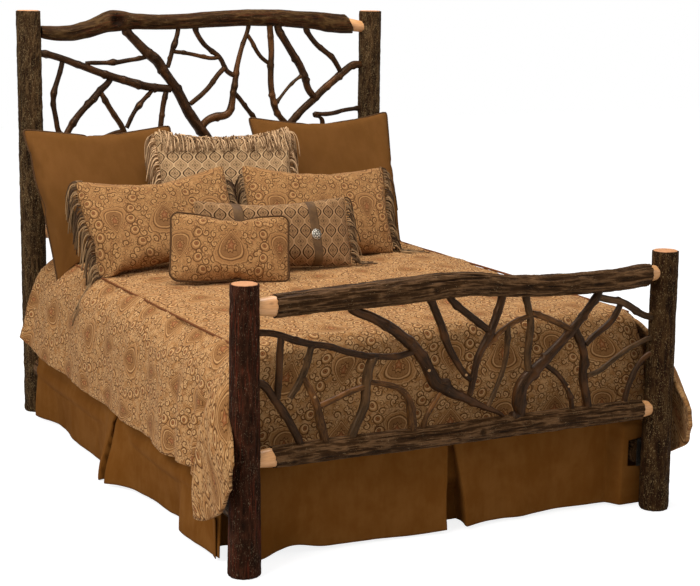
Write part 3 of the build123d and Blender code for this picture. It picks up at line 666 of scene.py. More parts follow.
PAISLEY = paisley_material("paisley", "AD7A48", "D8AA74", "4E2A12", "8A4424")
# The comforter's paisley made darker for the upright pillows: painted shade.
SHADED_PILLOW_PAISLEY = paisley_material("pillow_paisley", "9E7044", "C2935E", "50301A", "82442A")
LATTICE = lattice_material("lattice", "A27C55", "D0AC80", "2E190B")
# The square pillow's lattice made darker for the lumbar pillow: painted shade.
SHADED_LUMBAR_LATTICE = lattice_material("lumbar_lattice", "8A6440", "B68E64", "28160A")
EURO_SUEDE = suede_material("euro_suede", "633F1B", "6B4521")
SKIRT_SUEDE = suede_material("skirt_suede", "6C4014", "7A4E22")
RUST_WELT = cord_material("rust_welt", "5A3012", "7A4520")
DARK_PIPING = cord_material("dark_piping", "3E2814", "5A3C20")
YARN = {
    "light": yarn_material("light_fringe", "64462B", "D8B084"),
    # The same fringe yarn made darker for the shams and the lumbar pillow: painted shade.
    "dark": yarn_material("dark_fringe", "38261A", "A07E58"),
}
TICKING = ticking_material()
TAPE = cord_material("edge_tape", "8C8068", "A99C80")
STRAP_LEATHER = leather_material()
CONCHO_SILVER = silver_material()

POST_BARK = {
    "head": bark_material("head_post_bark", "140B05", "2E1E10", "4F3A23", "86704E", 0.10,
                          "43260F", 0.04),
    "left": bark_material("foot_left_post_bark", "150804", "271309", "3E2114", "7A6650", 0.05,
                          "742E1C", 0.08),
    "right": bark_material("foot_right_post_bark", "140A04", "29170A", "45301A", "8C744F", 0.08,
                           "43200F", 0.05),
}
RAIL_BARK = bark_material("rail_bark", "150A05", "35210F", "6A4C31", "9C8462", 0.02,
                          "3E2213", 0.04, 0.6, run=9.0)
HEAD_RAIL_BARK = bark_material("head_rail_bark", "170D06", "33200F", "513A20", "7A6448", 0.03,
                               "5A2C18", 0.10, 0.65, run=16.0)
BRANCH_BARK = {
    "dark": twig_material("dark_branch_bark", "150B05", "352010", "8A643C", "4C2E17"),
    "brown": twig_material("brown_branch_bark", "26150A", "553619", "AE8450", "774B25"),
    "umber": twig_material("umber_branch_bark", "1A0E06", "41270F", "8E6438", "623C1E"),
    "grey": twig_material("grey_branch_bark", "1F1409", "45301C", "8C6F4C", "5A3E24"),
}
PEELED = peeled_material("peeled_wood", "E6AC74", "C68850")
SAWN_END = end_grain_material("sawn_end", "D29462", "B47648")
CUT_END = end_grain_material("cut_branch_end", "AE8354", "7C5632")


# ---- lines read from the frame -------------------------------------------------------------------
def slot_of(node):
    return next(s["material_slot"] for s in frame["record"]["subparts"] if s["node"] == node)


def node_mesh(node):
    """Points and triangles of a CAD node."""
    mesh = frame["nodes"][node].data
    mesh.calc_loop_triangles()
    triangles = np.zeros((len(mesh.loop_triangles), 3), np.int64)
    mesh.loop_triangles.foreach_get("vertices", triangles.ravel())
    return coordinates(mesh), triangles


def coordinates(mesh, name="position"):
    """Positions, normals or another vector of a mesh's points."""
    values = np.zeros(len(mesh.vertices) * 3)
    if name in ("position", "normal"):
        mesh.vertices.foreach_get({"position": "co"}.get(name, name), values)
    else:
        mesh.attributes[name].data.foreach_get("vector", values)
    return values.reshape(-1, 3)


def solids_of(node):
    """Points and triangles of each separate solid in a node, in the order they start in it."""
    points, triangles = node_mesh(node)
    key, first, same = np.unique(np.round(points, 5), axis=0, return_index=True,
                                 return_inverse=True)
    triangles = same.ravel()[triangles]
    label = np.arange(len(key))
    while True:
        new = label.copy()
        np.minimum.at(new, triangles.ravel(), np.repeat(label[triangles].min(axis=1), 3))
        new = new[new]
        if (new == label).all():
            break
        label = new
    groups = sorted(set(label[triangles[:, 0]]), key=lambda g: first[label == g].min())
    return [(key, triangles[label[triangles[:, 0]] == g]) for g in groups]


def surface_samples(points, triangles, spacing=0.004):
    """Points spread evenly over the triangles."""
    a, b, c = (points[triangles[:, k]] for k in range(3))
    area = np.linalg.norm(np.cross(b - a, c - a), axis=1) / 2
    which = np.repeat(np.arange(len(area)), np.ceil(area / spacing ** 2).astype(int))
    count = np.arange(len(which))
    u, v = (count * 0.7548776662) % 1, (count * 0.5698402910) % 1
    over = u + v > 1
    u, v = np.where(over, 1 - u, u), np.where(over, 1 - v, v)
    return a[which] + u[:, None] * (b - a)[which] + v[:, None] * (c - a)[which]


def evened(values):
    """Each inner value drawn to the mean of its neighbours."""
    values[1:-1] = 0.25 * values[:-2] + 0.5 * values[1:-1] + 0.25 * values[2:]


SPINE_STEP, SPINE_ROUNDS = 0.012, 6
SAMPLE_BLOCK = 4000                        # samples matched to the centre line at one time


def spine(samples):
    """Centre line and radii of a bent round branch, from points on its surface."""
    middle = samples.mean(axis=0)
    axis = np.linalg.svd(samples - middle, full_matrices=False)[2][0]
    share = (samples - middle) @ axis
    count = max(8, int((share.max() - share.min()) / SPINE_STEP))
    bins = np.clip(((share - share.min()) / np.ptp(share) * count).astype(int), 0, count - 1)
    for _ in range(SPINE_ROUNDS):
        number = np.bincount(bins, minlength=count)
        held = number > 3
        line = np.stack([np.bincount(bins, samples[:, k], count) for k in range(3)], axis=1)
        line = line[held] / number[held][:, None]
        for _ in range(2):
            evened(line)
        length = arc_length(line)
        count = max(8, int(length[-1] / SPINE_STEP))
        even = np.linspace(0, length[-1], count)
        line = np.stack([np.interp(even, length, line[:, k]) for k in range(3)], axis=1)
        bins = np.concatenate([
            ((samples[start:start + SAMPLE_BLOCK, None] - line) ** 2).sum(-1).argmin(1)
            for start in range(0, len(samples), SAMPLE_BLOCK)])
    along = unit(np.gradient(line, axis=0))
    away = samples - line[bins]
    square = (away ** 2).sum(1) - (away * along[bins]).sum(1) ** 2
    radii = np.array([np.median(np.sqrt(np.maximum(square[bins == k], 0)))
                      if (bins == k).any() else np.nan for k in range(count)])
    radii[:2], radii[-2:] = radii[2], radii[-3]
    known = ~np.isnan(radii)
    radii = np.interp(np.arange(count), np.flatnonzero(known), radii[known])
    for _ in range(3):
        evened(line)
        evened(radii)
    return line, radii


def straight_log(node, axis, stations):
    """Centre line and radii of a straight or arched log, cut at stations along an axis.

    A log's section is highest in Y right over its centre line."""
    points, triangles = node_mesh(node)
    a, b = (points[triangles[:, k].ravel(order="F")] for k in ([0, 1, 2], [1, 2, 0]))
    middle_y = (points[:, 1].min() + points[:, 1].max()) / 2
    centres, radii = [], []
    for at in stations:
        cut = (a[:, axis] - at) * (b[:, axis] - at) < 0
        share = ((at - a[cut, axis]) / (b[cut, axis] - a[cut, axis]))[:, None]
        ring = a[cut] + share * (b[cut] - a[cut])
        top = ring[ring[:, 1].argmax()]
        centres.append((top[0], middle_y, top[2]))
        radii.append(top[1] - middle_y)
    return np.array(centres), np.array(radii)


# ---- logs ----------------------------------------------------------------------------------------
RING_STEP = 0.006
LOG_AROUND, TENON_AROUND = 96, 64
RIM = 0.0048                               # width of the bark round a sawn end
RIM_WAVE = 0.007


def bark_relief(place, seed, scale, stretch):
    """Height of interlaced bark ridges, from 0 in a furrow to 1 on a ridge."""
    bent = place + 0.35 * scale * noise(place / (scale * np.array([4, 4, 7])), seed + 9)[..., None]
    wide = bent / (scale * np.array([1, 1, stretch]))
    ridge = 1 - np.abs(noise(wide, seed)) * 2.2
    small = 1 - np.abs(noise(wide * 2.1 + 7, seed + 3)) * 2.2
    fine = noise(place / np.array([0.3, 0.3, 0.9]) / scale, seed + 5)
    return np.clip(0.5 + 0.34 * ridge + 0.18 * small + 0.14 * fine - 0.1, 0, 1)


def bark_place(directions, side, third, radii, length):
    """Where each point lies in the bark's pattern: round the log, and along it from its end."""
    round_the = directions @ np.stack([side.mean(0), third.mean(0)], axis=1)
    return np.concatenate([round_the * radii[:, None, None],
                           np.broadcast_to(length[:, None, None], directions.shape[:2] + (1,))],
                          axis=2)


def add_log(build, centres, radii, seed, relief, scale, stretch=5.0, knots=(), slants=None):
    """The barked length of a log; given slants, its ends are ragged and lean by them."""
    along, side, third = tube_axes(centres)
    directions = ring_directions(side, third, LOG_AROUND)
    length = arc_length(centres)
    place = bark_place(directions, side, third, radii, length)
    height = bark_relief(place, seed, scale, stretch)
    lump = noise(place / np.array([0.09, 0.09, 0.22]), seed + 21)
    radius = radii[:, None] * (1 + 0.03 * lump) + relief * (height - 0.62)
    for at, toward, size, rise, hollow in knots:
        distance = np.linalg.norm(centres[:, None] + radii[:, None, None] * directions
                                  - np.array(at), axis=2)
        aim = directions @ unit(np.array(toward, float))
        near = bell(distance / size) * smoothstep(-0.2, 0.5, aim)
        pit = bell(distance / (0.45 * size)) * smoothstep(0.2, 0.7, aim)
        radius += rise * near - hollow * pit
        # A deep pit pushes the relief far below 0, so it takes the bark's deepest colour: painted
        # shade in the hollow.
        height = height * (1 - pit) + 0.15 * near - (2.0 * pit if hollow > 0.01 else 0.0)
    points = centres[:, None] + radius[:, :, None] * directions
    if slants:
        points = points + ragged_ends(place, length, slants, seed)[:, :, None] * along[:, None]
    build.rings(points, bark=place, relief=height)
    return points, place


RAGGED_LENGTH, RAGGED_DEPTH = 0.050, 0.0028


def ragged_ends(place, length, slants, seed):
    """How far each point moves along a log, so that its bark ends in a ragged, slanted line."""
    ragged = RAGGED_DEPTH * noise(place * np.array([120, 120, 0.0]), seed + 40)
    lift = -place[..., 1] / np.abs(place[..., 1]).max()
    start, end = (np.clip(1 - away / RAGGED_LENGTH, 0, 1)[:, None] ** 2
                  for away in (length, length[-1] - length))
    return start * (ragged + slants[0] * lift) + end * (ragged - slants[1] * lift)


def add_end(build, ring, place, out, bark_width, slot_wood, dish=0.0012, seed=0):
    """Close a log's sawn end: a rim of bark, a small step, then the flat wood."""
    middle = ring.mean(axis=0)
    spokes = ring - middle
    radius = np.linalg.norm(spokes, axis=1, keepdims=True)
    wave = noise(place / np.array([RIM_WAVE, RIM_WAVE, 1]), seed)[:, None]
    inner = middle + spokes * (1 - (bark_width + 0.25 * bark_width * wave) / radius)
    build.rings([ring, inner + 0.0006 * out], bark=[place, place],
                relief=np.full((2, len(ring)), 0.35))
    rings, places = [], []
    for share, lift in ((1.0, 0.0006), (0.985, 0.0022), (0.93, 0.0028), (0.7, 0.0028),
                        (0.4, 0.0026), (0.12, 0.0026)):
        rings.append(middle + (inner - middle) * share + out * (lift + dish * (1 - share)))
        places.append(place * np.array([share, share, 1]))
    build.rings(rings, slot_wood, caps=(False, True), bark=places,
                relief=np.full((len(rings), len(ring)), 0.5))


POST_EDGE = 0.004
POST_FOOT = 0.0028                         # a sawn end stands this far past the bark
POSTS = {                      # bark, relief, ridge width
    "head_post_left": ("head", 0.0050, 0.011),
    "head_post_right": ("head", 0.0050, 0.011),
    "foot_post_left": ("left", 0.0034, 0.012),
    "foot_post_right": ("right", 0.0040, 0.012),
}


def make_posts():
    for name, (bark, relief, scale) in POSTS.items():
        low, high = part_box(name)
        height = high.z - low.z
        probe = [2 * POST_EDGE, 0.45 * height, height - 1.5 * POST_EDGE]
        centres, radii = straight_log(name, 2, probe)
        z = stations_between(POST_FOOT, high.z, RING_STEP)
        radius = np.interp(z, probe, radii) - POST_EDGE * (1 - smoothstep(0, 2 * POST_EDGE, z))
        seed = seed_of(name)
        build = Build()
        points, place = add_log(build, xyz(centres[0, 0], centres[0, 1], z), radius, seed, relief,
                                scale)
        add_end(build, points[-1], place[-1], UP, RIM, 1, seed=seed)
        add_end(build, points[0][::-1], place[0][::-1], -UP, RIM, 1, dish=-0.0018, seed=seed)
        build.piece(name + "_bark", [POST_BARK[bark], SAWN_END], "bark_log", [name])


RAILS = {       # barked length (from x, to x, slant of each end), relief, ridge width, stretch
    "head_top_rail": ((-0.772, 0.706, 0.0, -0.020), 0.0022, 0.012, 6.0),
    "head_lower_rail": ((-0.7265, 0.7265, 0.0, 0.0), 0.0030, 0.011, 6.0),
    "foot_top_rail": ((-0.7225, 0.747, -0.004, 0.006), 0.0060, 0.0080, 13.0),
    "foot_lower_rail": ((-0.7265, 0.740, 0.006, 0.004), 0.0058, 0.0080, 12.0),
}
RAIL_KNOTS = {                 # point, direction, size, rise, hollow
    "head_top_rail": [((-0.440, 1.108, 1.714), (0, -1, 0.1), 0.052, 0.013, 0.030),
                      ((0.590, 1.110, 1.675), (0, -0.8, -0.6), 0.035, 0.006, 0.0),
                      ((-0.470, 1.13, 1.76), (0, -0.3, 1), 0.045, 0.006, 0.0)],
    "foot_top_rail": [((-0.455, -1.185, 0.925), (0, -0.6, 0.8), 0.020, 0.004, 0.003),
                      ((-0.15, -1.195, 0.90), (0, -1, 0), 0.026, 0.005, 0.003)],
    "foot_lower_rail": [((-0.665, -1.185, 0.372), (0, -1, -0.3), 0.018, 0.006, 0.004),
                        ((0.05, -1.19, 0.39), (0, -1, 0.1), 0.022, 0.005, 0.003)],
    "head_lower_rail": [],
}
TENON_REACH = 0.800
TENON_KNOTS = ((-0.746, -1.185, 0.905, 0.010), (-0.741, -1.190, 0.375, 0.006))  # x, y, z, size
CROOK_POINTS = 160                         # of the smooth line along a crooked rail


def make_rails():
    for name, ((left, right, *slants), relief, scale, stretch) in RAILS.items():
        probe = np.arange(left + 0.002, right - 0.001, 0.012)
        centres, radii = straight_log(name, 0, probe)
        smooth_line = curve_through(np.column_stack([centres, radii])[::3], CROOK_POINTS)
        smooth_line = smooth_line[np.argsort(smooth_line[:, 0])]
        x = stations_between(left, right, RING_STEP)
        z, radius = (np.interp(x, smooth_line[:, 0], smooth_line[:, k]) for k in (2, 3))
        seed = seed_of(name)
        build = Build()
        points, place = add_log(build, xyz(x, centres[0, 1], z), radius, seed, relief, scale,
                                stretch, RAIL_KNOTS[name], slants)
        for end in (0, -1):
            ring, spot = points[end], place[end]
            middle = ring.mean(axis=0)
            inner = middle + 0.5 * (ring - middle)
            build.rings([ring, inner] if end else [inner, ring], bark=[spot, spot],
                        relief=np.full((2, len(ring)), 0.2))
        for sign, shoulder in ((-1, left), (1, right)):
            add_tenon(build, name, sign, abs(shoulder), seed + sign)
        build.piece(name + "_bark", [HEAD_RAIL_BARK if name == "head_top_rail" else RAIL_BARK,
                                     PEELED, CUT_END], "bark_log", [name])


def make_side_rails():
    for name in ("side_rail_left", "side_rail_right"):
        low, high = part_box(name)
        y = stations_between(low.y, high.y, RING_STEP)
        line = xyz((low.x + high.x) / 2, y, (low.z + high.z) / 2)
        seed = seed_of(name)
        build = Build()
        points, place = add_log(build, line, np.full(len(y), (high.z - low.z) / 2), seed, 0.0030,
                                0.011, 7.0)
        ahead = np.array([0.0, 1.0, 0.0])
        # Their sawn ends are painted with the bark, not with sawn-end wood: painted shade in the
        # narrow gap at each post.
        add_end(build, points[-1], place[-1], ahead, RIM, 0, seed=seed)
        add_end(build, points[0][::-1], place[0][::-1], -ahead, RIM, 0, seed=seed)
        build.piece(name + "_bark", [RAIL_BARK], "bark_log", [name])


def add_tenon(build, name, sign, shoulder, seed):
    """Peeled tenon from inside the bark's shoulder into the post."""
    if shoulder > TENON_REACH - 0.04:
        return
    x = sign * np.linspace(shoulder + 0.006, TENON_REACH, 36)
    centres, radii = straight_log(name, 0, x)
    x = np.concatenate([[sign * (shoulder - 0.012)], x])
    centres = np.vstack([centres[:1], centres])
    centres[:, 0] = x
    radii = np.concatenate([radii[:1], radii])
    _, side, third = tube_axes(centres)
    angle = np.linspace(0, math.tau, TENON_AROUND, endpoint=False)
    radius = radii[:, None] + 0.0007 * noise(xyz(np.cos(angle) * 2.2, np.sin(angle) * 2.2, 0), seed)
    points = centres[:, None] + radius[:, :, None] * ring_directions(side, third, TENON_AROUND)
    # Low round each listed knothole: brown there, and nearly black in the middle, which is painted
    # shade of the hole.
    sound = np.ones(radius.shape)
    for *at, size in TENON_KNOTS:
        away = (points - np.array(at)) / (1.7 * size, size, size)
        sound = np.minimum(sound, 1 - np.exp(-(away ** 2).sum(axis=2)))
    build.rings(points, 1, bark=xyz(np.cos(angle) * 0.03, np.sin(angle) * 0.03, x[:, None]),
                relief=sound)


# ---- branches ------------------------------------------------------------------------------------
BRANCH_TONES = {
    "head_brown_brace": "umber", "head_left_brace": "dark", "head_elbow": "umber",
    "head_right_upright": "umber", "foot_left_knee": "grey", "foot_gnarled_upright": "grey",
    "foot_cut_branch": "grey", "foot_right_strut": "grey", "head_right_diagonal": "umber",
}
GROUP_TONES = {
    "head_twigs_left": ["dark", "umber", "dark"],
    "head_twigs_centre": ["dark", "dark", "umber", "dark"],
    "head_twigs_right": ["dark", "umber", "grey", "dark", "dark", "dark"],
    "foot_twigs_left": ["dark", "brown", "brown"],
    "foot_twigs_centre": ["brown", "brown", "dark", "brown", "grey"],
    "foot_twigs_right": ["brown", "dark", "grey", "dark", "dark"],
}
FREE_ENDS = ("foot_cut_branch",)            # their lower end is sawn and hangs free
BRANCH_GROW = 0.010                         # how far an end runs on into what carries it
BRANCH_SCALE = 1.07                         # the photo's branches against the frame's
# Knots and sawn stubs that face the foot of the bed: x, z, size, and whether the end is sawn.
KNOTS = {
    "head": [(-0.335, 1.442, 0.020, 0), (-0.237, 1.436, 0.016, 0), (-0.254, 1.550, 0.018, 0),
             (-0.147, 1.296, 0.016, 0), (-0.539, 1.372, 0.018, 0), (-0.627, 1.274, 0.015, 0),
             (-0.341, 1.354, 0.018, 0), (-0.450, 1.531, 0.016, 0), (-0.732, 1.406, 0.018, 0),
             (-0.178, 1.611, 0.016, 0), (-0.755, 1.582, 0.015, 0), (0.120, 1.420, 0.016, 0),
             (0.330, 1.330, 0.016, 0), (0.480, 1.460, 0.015, 0)],
    "foot": [(-0.587, 0.575, 0.012, 1), (-0.368, 0.677, 0.012, 0), (-0.233, 0.709, 0.014, 0),
             (-0.166, 0.623, 0.014, 1), (-0.094, 0.560, 0.012, 0), (0.021, 0.668, 0.014, 0),
             (0.007, 0.596, 0.012, 1), (0.095, 0.713, 0.012, 0), (0.082, 0.507, 0.012, 1),
             (-0.106, 0.711, 0.013, 1), (0.218, 0.685, 0.013, 0), (0.494, 0.699, 0.012, 1),
             (0.577, 0.754, 0.013, 0), (0.426, 0.507, 0.012, 1), (0.428, 0.463, 0.012, 0)],
}


BRANCH_AROUND, BRANCH_STEP, STUB_AROUND = 22, 0.004, 12
KNOT_REACH = 0.018                          # how far from a branch its knots may be listed


def add_branch(build, line, radii, name, free_low):
    """One branch: swollen nodes, small lumps, and a sawn face at a free end."""
    if line[0, 2] < line[-1, 2]:
        line, radii = line[::-1], radii[::-1]
    first, last = unit(line[0] - line[1]), unit(line[-1] - line[-2])
    grow_low = 0.004 if free_low else BRANCH_GROW
    line = np.vstack([line[0] + first * BRANCH_GROW, line, line[-1] + last * grow_low])
    radii = np.concatenate([radii[:1], radii, radii[-1:]])
    count = max(8, int(arc_length(line)[-1] / BRANCH_STEP))
    smooth_line = curve_through(np.column_stack([line, radii])[::2 if len(line) > 12 else 1],
                                count)
    centres, radii = smooth_line[:, :3], smooth_line[:, 3]
    length = arc_length(centres)
    seed = seed_of(name)
    rng = np.random.default_rng(seed)
    _, side, third = tube_axes(centres)
    directions = ring_directions(side, third, BRANCH_AROUND)
    place = bark_place(directions, side, third, radii, length + rng.uniform(0, 9))
    lump = rough(place / np.array([0.022, 0.022, 0.050]), seed)
    fine = noise(place / np.array([0.004, 0.004, 0.02]), seed + 2)
    relief = 0.5 + 0.5 * fine
    radius = radii[:, None] * BRANCH_SCALE * (1 + 0.09 * lump) + 0.0004 * fine
    at = rng.uniform(0.03, 0.09)
    while at < length[-1] - 0.02:
        angle = rng.uniform(0, math.tau)
        toward = math.cos(angle) * side + math.sin(angle) * third
        lean = (directions * toward[:, None]).sum(-1)
        bump = bell((length - at) / rng.uniform(0.007, 0.013))[:, None]
        swell = rng.uniform(0.04, 0.14) + rng.uniform(0.10, 0.32) * smoothstep(0.2, 1.0, lean)
        radius = radius + radii[:, None] * bump * swell
        relief = relief + 0.20 * bump * smoothstep(0.0, 0.9, lean)
        at += rng.uniform(0.06, 0.15)
    for knot_x, knot_z, size, sawn in KNOTS[name[:4]]:
        off = np.hypot(centres[:, 0] - knot_x, centres[:, 2] - knot_z)
        nearest = int(off.argmin())
        if off[nearest] > KNOT_REACH:
            continue
        toward = unit(np.array([rng.uniform(-0.5, 0.2), -1.0, rng.uniform(-0.2, 0.5)]))
        reach = np.linalg.norm(centres[:, None] + radii[:, None, None] * directions
                               - (centres[nearest] + radii[nearest] * toward), axis=2)
        near = bell(reach / size)
        radius = radius + (0.0040 if sawn else 0.0080) * near
        relief = relief + 0.25 * near
        if sawn:
            add_stub(build, centres[nearest], toward, 0.42 * size, radii[nearest] + 0.008)
    points = centres[:, None] + radius[:, :, None] * directions
    build.rings(points, caps=(True, not free_low), bark=place, relief=relief)
    if free_low:
        add_end(build, points[-1], place[-1], last, 0.0014, 1, dish=0.0)


def add_stub(build, middle, toward, radius, reach):
    """A side twig sawn off close to the branch, with its pale end."""
    shares = np.array([0.2, 0.7, 0.93, 1.0])
    widths = radius * np.array([1.5, 1.15, 1.0, 0.9])
    centres = middle + shares[:, None] * reach * toward
    _, side, third = tube_axes(centres)
    points = (centres[:, None]
              + widths[:, None, None] * ring_directions(side, third, STUB_AROUND))
    build.rings(points, bark=points - middle, relief=np.full(points.shape[:2], 0.5))
    spokes = points[-1] - centres[-1]
    build.add(points[-1], [list(range(STUB_AROUND))], 1,
              bark=xyz(spokes @ side[-1], spokes @ third[-1], 0),
              relief=np.full(STUB_AROUND, 0.5))


def make_branches():
    for name in frame["nodes"]:
        if slot_of(name) != "bark_branch":
            continue
        tones = GROUP_TONES.get(name)
        builds = {}
        for number, solid in enumerate(solids_of(name)):
            tone = tones[number] if tones else BRANCH_TONES.get(name, "dark")
            line, radii = spine(surface_samples(*solid))
            build = builds.setdefault(tone, Build())
            add_branch(build, line, radii, name + str(number), name in FREE_ENDS)
        for tone, build in builds.items():
            label = name + "_bark" + ("" if len(builds) == 1 else "_" + tone)
            build.piece(label, [BRANCH_BARK[tone], CUT_END], "bark_branch", [name])


# ---- comforter -----------------------------------------------------------------------------------
CLOTH_STEP = 0.010
SEAM_X, SEAM_Z = 0.775, 0.722              # seam along each side of the comforter's top
TOP_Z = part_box("comforter")[1].z
HEAD_EDGE_Y, TURN_Y, TURN_R = 0.945, -0.990, 0.060
FOOT_HEM_Z, FOOT_END_Y = 0.376, -1.236
COMFORTER_THICK = 0.014
DROP_COLUMNS = 46
DROP_EASE = 1.06                           # length of a side drop over its straight line
# The side hem along the bed: y, distance from the middle, height.
HEM_LINE = [
    (0.945, 0.962, 0.385), (0.890, 0.948, 0.360), (0.820, 0.934, 0.345), (0.560, 0.912, 0.318),
    (0.150, 0.900, 0.303), (-0.320, 0.897, 0.292), (-0.640, 0.899, 0.284), (-0.760, 0.906, 0.296),
    (-0.860, 0.903, 0.296), (-0.905, 0.905, 0.288), (-0.930, 0.903, 0.283),
    (-0.965, 0.905, 0.262), (-1.000, 0.920, 0.215), (-1.030, 0.934, 0.180),
    (-1.075, 0.938, 0.178), (-1.130, 0.936, 0.205), (-1.190, 0.930, 0.245),
    (-1.236, 0.918, 0.325)]
# The seam along the bed, and past the foot the free edge of the corner that hangs outside a post.
SEAM_LINE = [
    (0.945, SEAM_X, SEAM_Z), (0.300, SEAM_X, SEAM_Z), (-0.600, SEAM_X, SEAM_Z),
    (-0.980, 0.776, 0.720), (-1.020, 0.788, 0.704), (-1.060, 0.820, 0.668),
    (-1.100, 0.852, 0.606), (-1.150, 0.874, 0.530), (-1.200, 0.886, 0.466),
    (-1.236, 0.897, 0.405)]
# How far the drop swells beyond the straight line from seam to hem, over that line's length.
SWELL = ((0.0, 0.0), (0.136, 0.085), (0.328, 0.128), (0.667, 0.075), (1.0, 0.0))
# Folds of the side drop: y at the hem, lean toward the head, half width, height.
SIDE_FOLDS = [
    (0.880, 0.02, 0.050, -0.014), (0.700, 0.06, 0.085, 0.011), (0.480, 0.08, 0.070, -0.008),
    (0.250, 0.05, 0.090, 0.009), (0.020, 0.10, 0.080, -0.009), (-0.200, 0.06, 0.090, 0.010),
    (-0.430, 0.09, 0.070, -0.010), (-0.600, 0.05, 0.060, 0.010), (-0.705, 0.03, 0.036, -0.014),
    (-0.790, 0.02, 0.040, 0.012), (-0.868, 0.015, 0.024, -0.012), (-0.918, 0.01, 0.022, 0.012),
    (-0.968, 0.01, 0.024, -0.030), (-1.035, 0.00, 0.030, 0.022), (-1.120, -0.02, 0.045, -0.012)]


def interpolated(line, y):
    """The other columns of a line of points at given y, smoothly between its points."""
    smooth_line = curve_through(sorted(line), 400)
    return [np.interp(y, smooth_line[:, 0], column) for column in smooth_line.T[1:]]


def side_grid(side, y):
    """Points and flat places of one side drop: a row for each y, from the seam to the hem."""
    seam_x, seam_z, hem_x, hem_z = (column[:, None] for line in (SEAM_LINE, HEM_LINE)
                                    for column in interpolated(line, y))
    w = np.linspace(0, 1, DROP_COLUMNS)
    swell = curve_through(SWELL, 60)
    bulge = np.interp(w, swell[:, 0], swell[:, 1])
    dx, dz = hem_x - seam_x, hem_z - seam_z
    x = seam_x + dx * w + -dz * bulge
    z = seam_z + dz * w + dx * bulge
    y = y[:, None]
    return xyz(side * x, y, z), xyz(side * (SEAM_X + w * DROP_EASE * np.hypot(dx, dz)), y, 0)


def top_height(x):
    return TOP_Z - (TOP_Z - SEAM_Z) * np.abs(x / SEAM_X) ** 5


def top_grid():
    """Points and flat places of the top and the foot drop."""
    x = np.linspace(-SEAM_X, SEAM_X, int(2 * SEAM_X / CLOTH_STEP) + 1)
    y_top = stations_between(HEAD_EDGE_Y, TURN_Y, CLOTH_STEP)
    angle = np.linspace(0, math.pi / 2, 10)[1:]
    drop = stations_between(0, SEAM_Z - TURN_R - FOOT_HEM_Z, CLOTH_STEP)[1:]
    y = np.concatenate([y_top, TURN_Y - TURN_R * np.sin(angle),
                        TURN_Y - TURN_R - 0.010 * np.sin(drop * 5)])
    below = np.concatenate([np.zeros(len(y_top)), TURN_R * (1 - np.cos(angle)), TURN_R + drop])
    flat_y = HEAD_EDGE_Y - arc_length(np.stack([y, below], axis=1))
    wide = x * (1 + 0.075 * smoothstep(0.0, 0.18, below))[:, None]
    points = xyz(wide, y[:, None], top_height(x) - below[:, None])
    return points, xyz(x, flat_y[:, None], 0), y_top


# Creases all over the comforter: height, length across, length along, seed.
CREASES = ((0.0050, 0.24, 0.20, 31), (0.0042, 0.085, 0.070, 32), (0.0028, 0.036, 0.032, 33),
           (0.0008, 0.016, 0.015, 36))


def fold_height(flat):
    """How far the comforter stands out at each flat place."""
    x, y = flat[:, 0], flat[:, 1]
    past_seam = np.abs(x) - SEAM_X
    depth = np.clip(past_seam, 0, None)
    side_seed = np.where(x < 0, 0.0, 1.0)
    low = smoothstep(0.02, 0.36, depth)
    height = np.zeros(len(flat))
    for at, lean, half, rise in SIDE_FOLDS:
        middle = at + lean * (1 - np.clip(depth / 0.42, 0, 1)) + 0.03 * side_seed
        height += rise * low * bell((y - middle) / half)

    def creased(across, along, seed):
        return noise(xyz(x / across, y / along, side_seed * 3), seed)

    for rise, across, along, seed in CREASES:
        height += rise * creased(across, along, seed)
    height += 0.0020 * bell(past_seam / 0.035) * creased(0.2, 0.022, 34)
    height -= 0.0020 * bell(past_seam / 0.008)
    foot = smoothstep(-1.0, -1.30, y) * (np.abs(x) < SEAM_X)
    height += 0.008 * foot * creased(0.10, 0.5, 35)
    return height


def weld(mesh, distance=1e-5):
    bm = bmesh.new()
    bm.from_mesh(mesh)
    bmesh.ops.remove_doubles(bm, verts=bm.verts, dist=distance)
    bm.to_mesh(mesh)
    bm.free()


def recalculate_normals(mesh, outward=True):
    bm = bmesh.new()
    bm.from_mesh(mesh)
    bmesh.ops.recalc_face_normals(bm, faces=bm.faces)
    up = sum(f.normal.z * f.calc_area() for f in bm.faces)
    if up < 0 and outward:
        bmesh.ops.reverse_faces(bm, faces=bm.faces)
    bm.to_mesh(mesh)
    bm.free()


def move_points(mesh, points):
    mesh.vertices.foreach_set("co", points.ravel())
    mesh.update()


def apply_modifiers(obj):
    """Give the object the mesh that its modifiers make, and drop them."""
    graph = bpy.context.evaluated_depsgraph_get()
    made = bpy.data.meshes.new_from_object(obj.evaluated_get(graph), preserve_all_data_layers=True,
                                           depsgraph=graph)
    obj.modifiers.clear()
    obj.data = made


def thicken(obj, thickness):
    modifier = obj.modifiers.new("thickness", "SOLIDIFY")
    modifier.thickness = thickness
    modifier.offset = -1.0
    modifier.use_rim = True
    apply_modifiers(obj)
    smooth_shading(obj.data)


def make_comforter():
    build = Build()
    points, flat, y_top = top_grid()
    build.sheet(points, flat=flat)
    y_side = np.concatenate([y_top, stations_between(TURN_Y, FOOT_END_Y, CLOTH_STEP)[1:]])
    for side in (-1, 1):
        points, flat = side_grid(side, y_side)
        build.sheet(points, turned=side > 0, flat=flat)
    comforter = build.piece("comforter_cover", [PAISLEY], "paisley_jacquard", ["comforter"])
    mesh = comforter.data
    weld(mesh)
    recalculate_normals(mesh)
    move_points(mesh, coordinates(mesh) + coordinates(mesh, "normal")
                * fold_height(coordinates(mesh, "flat"))[:, None])
    thicken(comforter, COMFORTER_THICK)
    welt = make_welt()


WELT_R = 0.0044


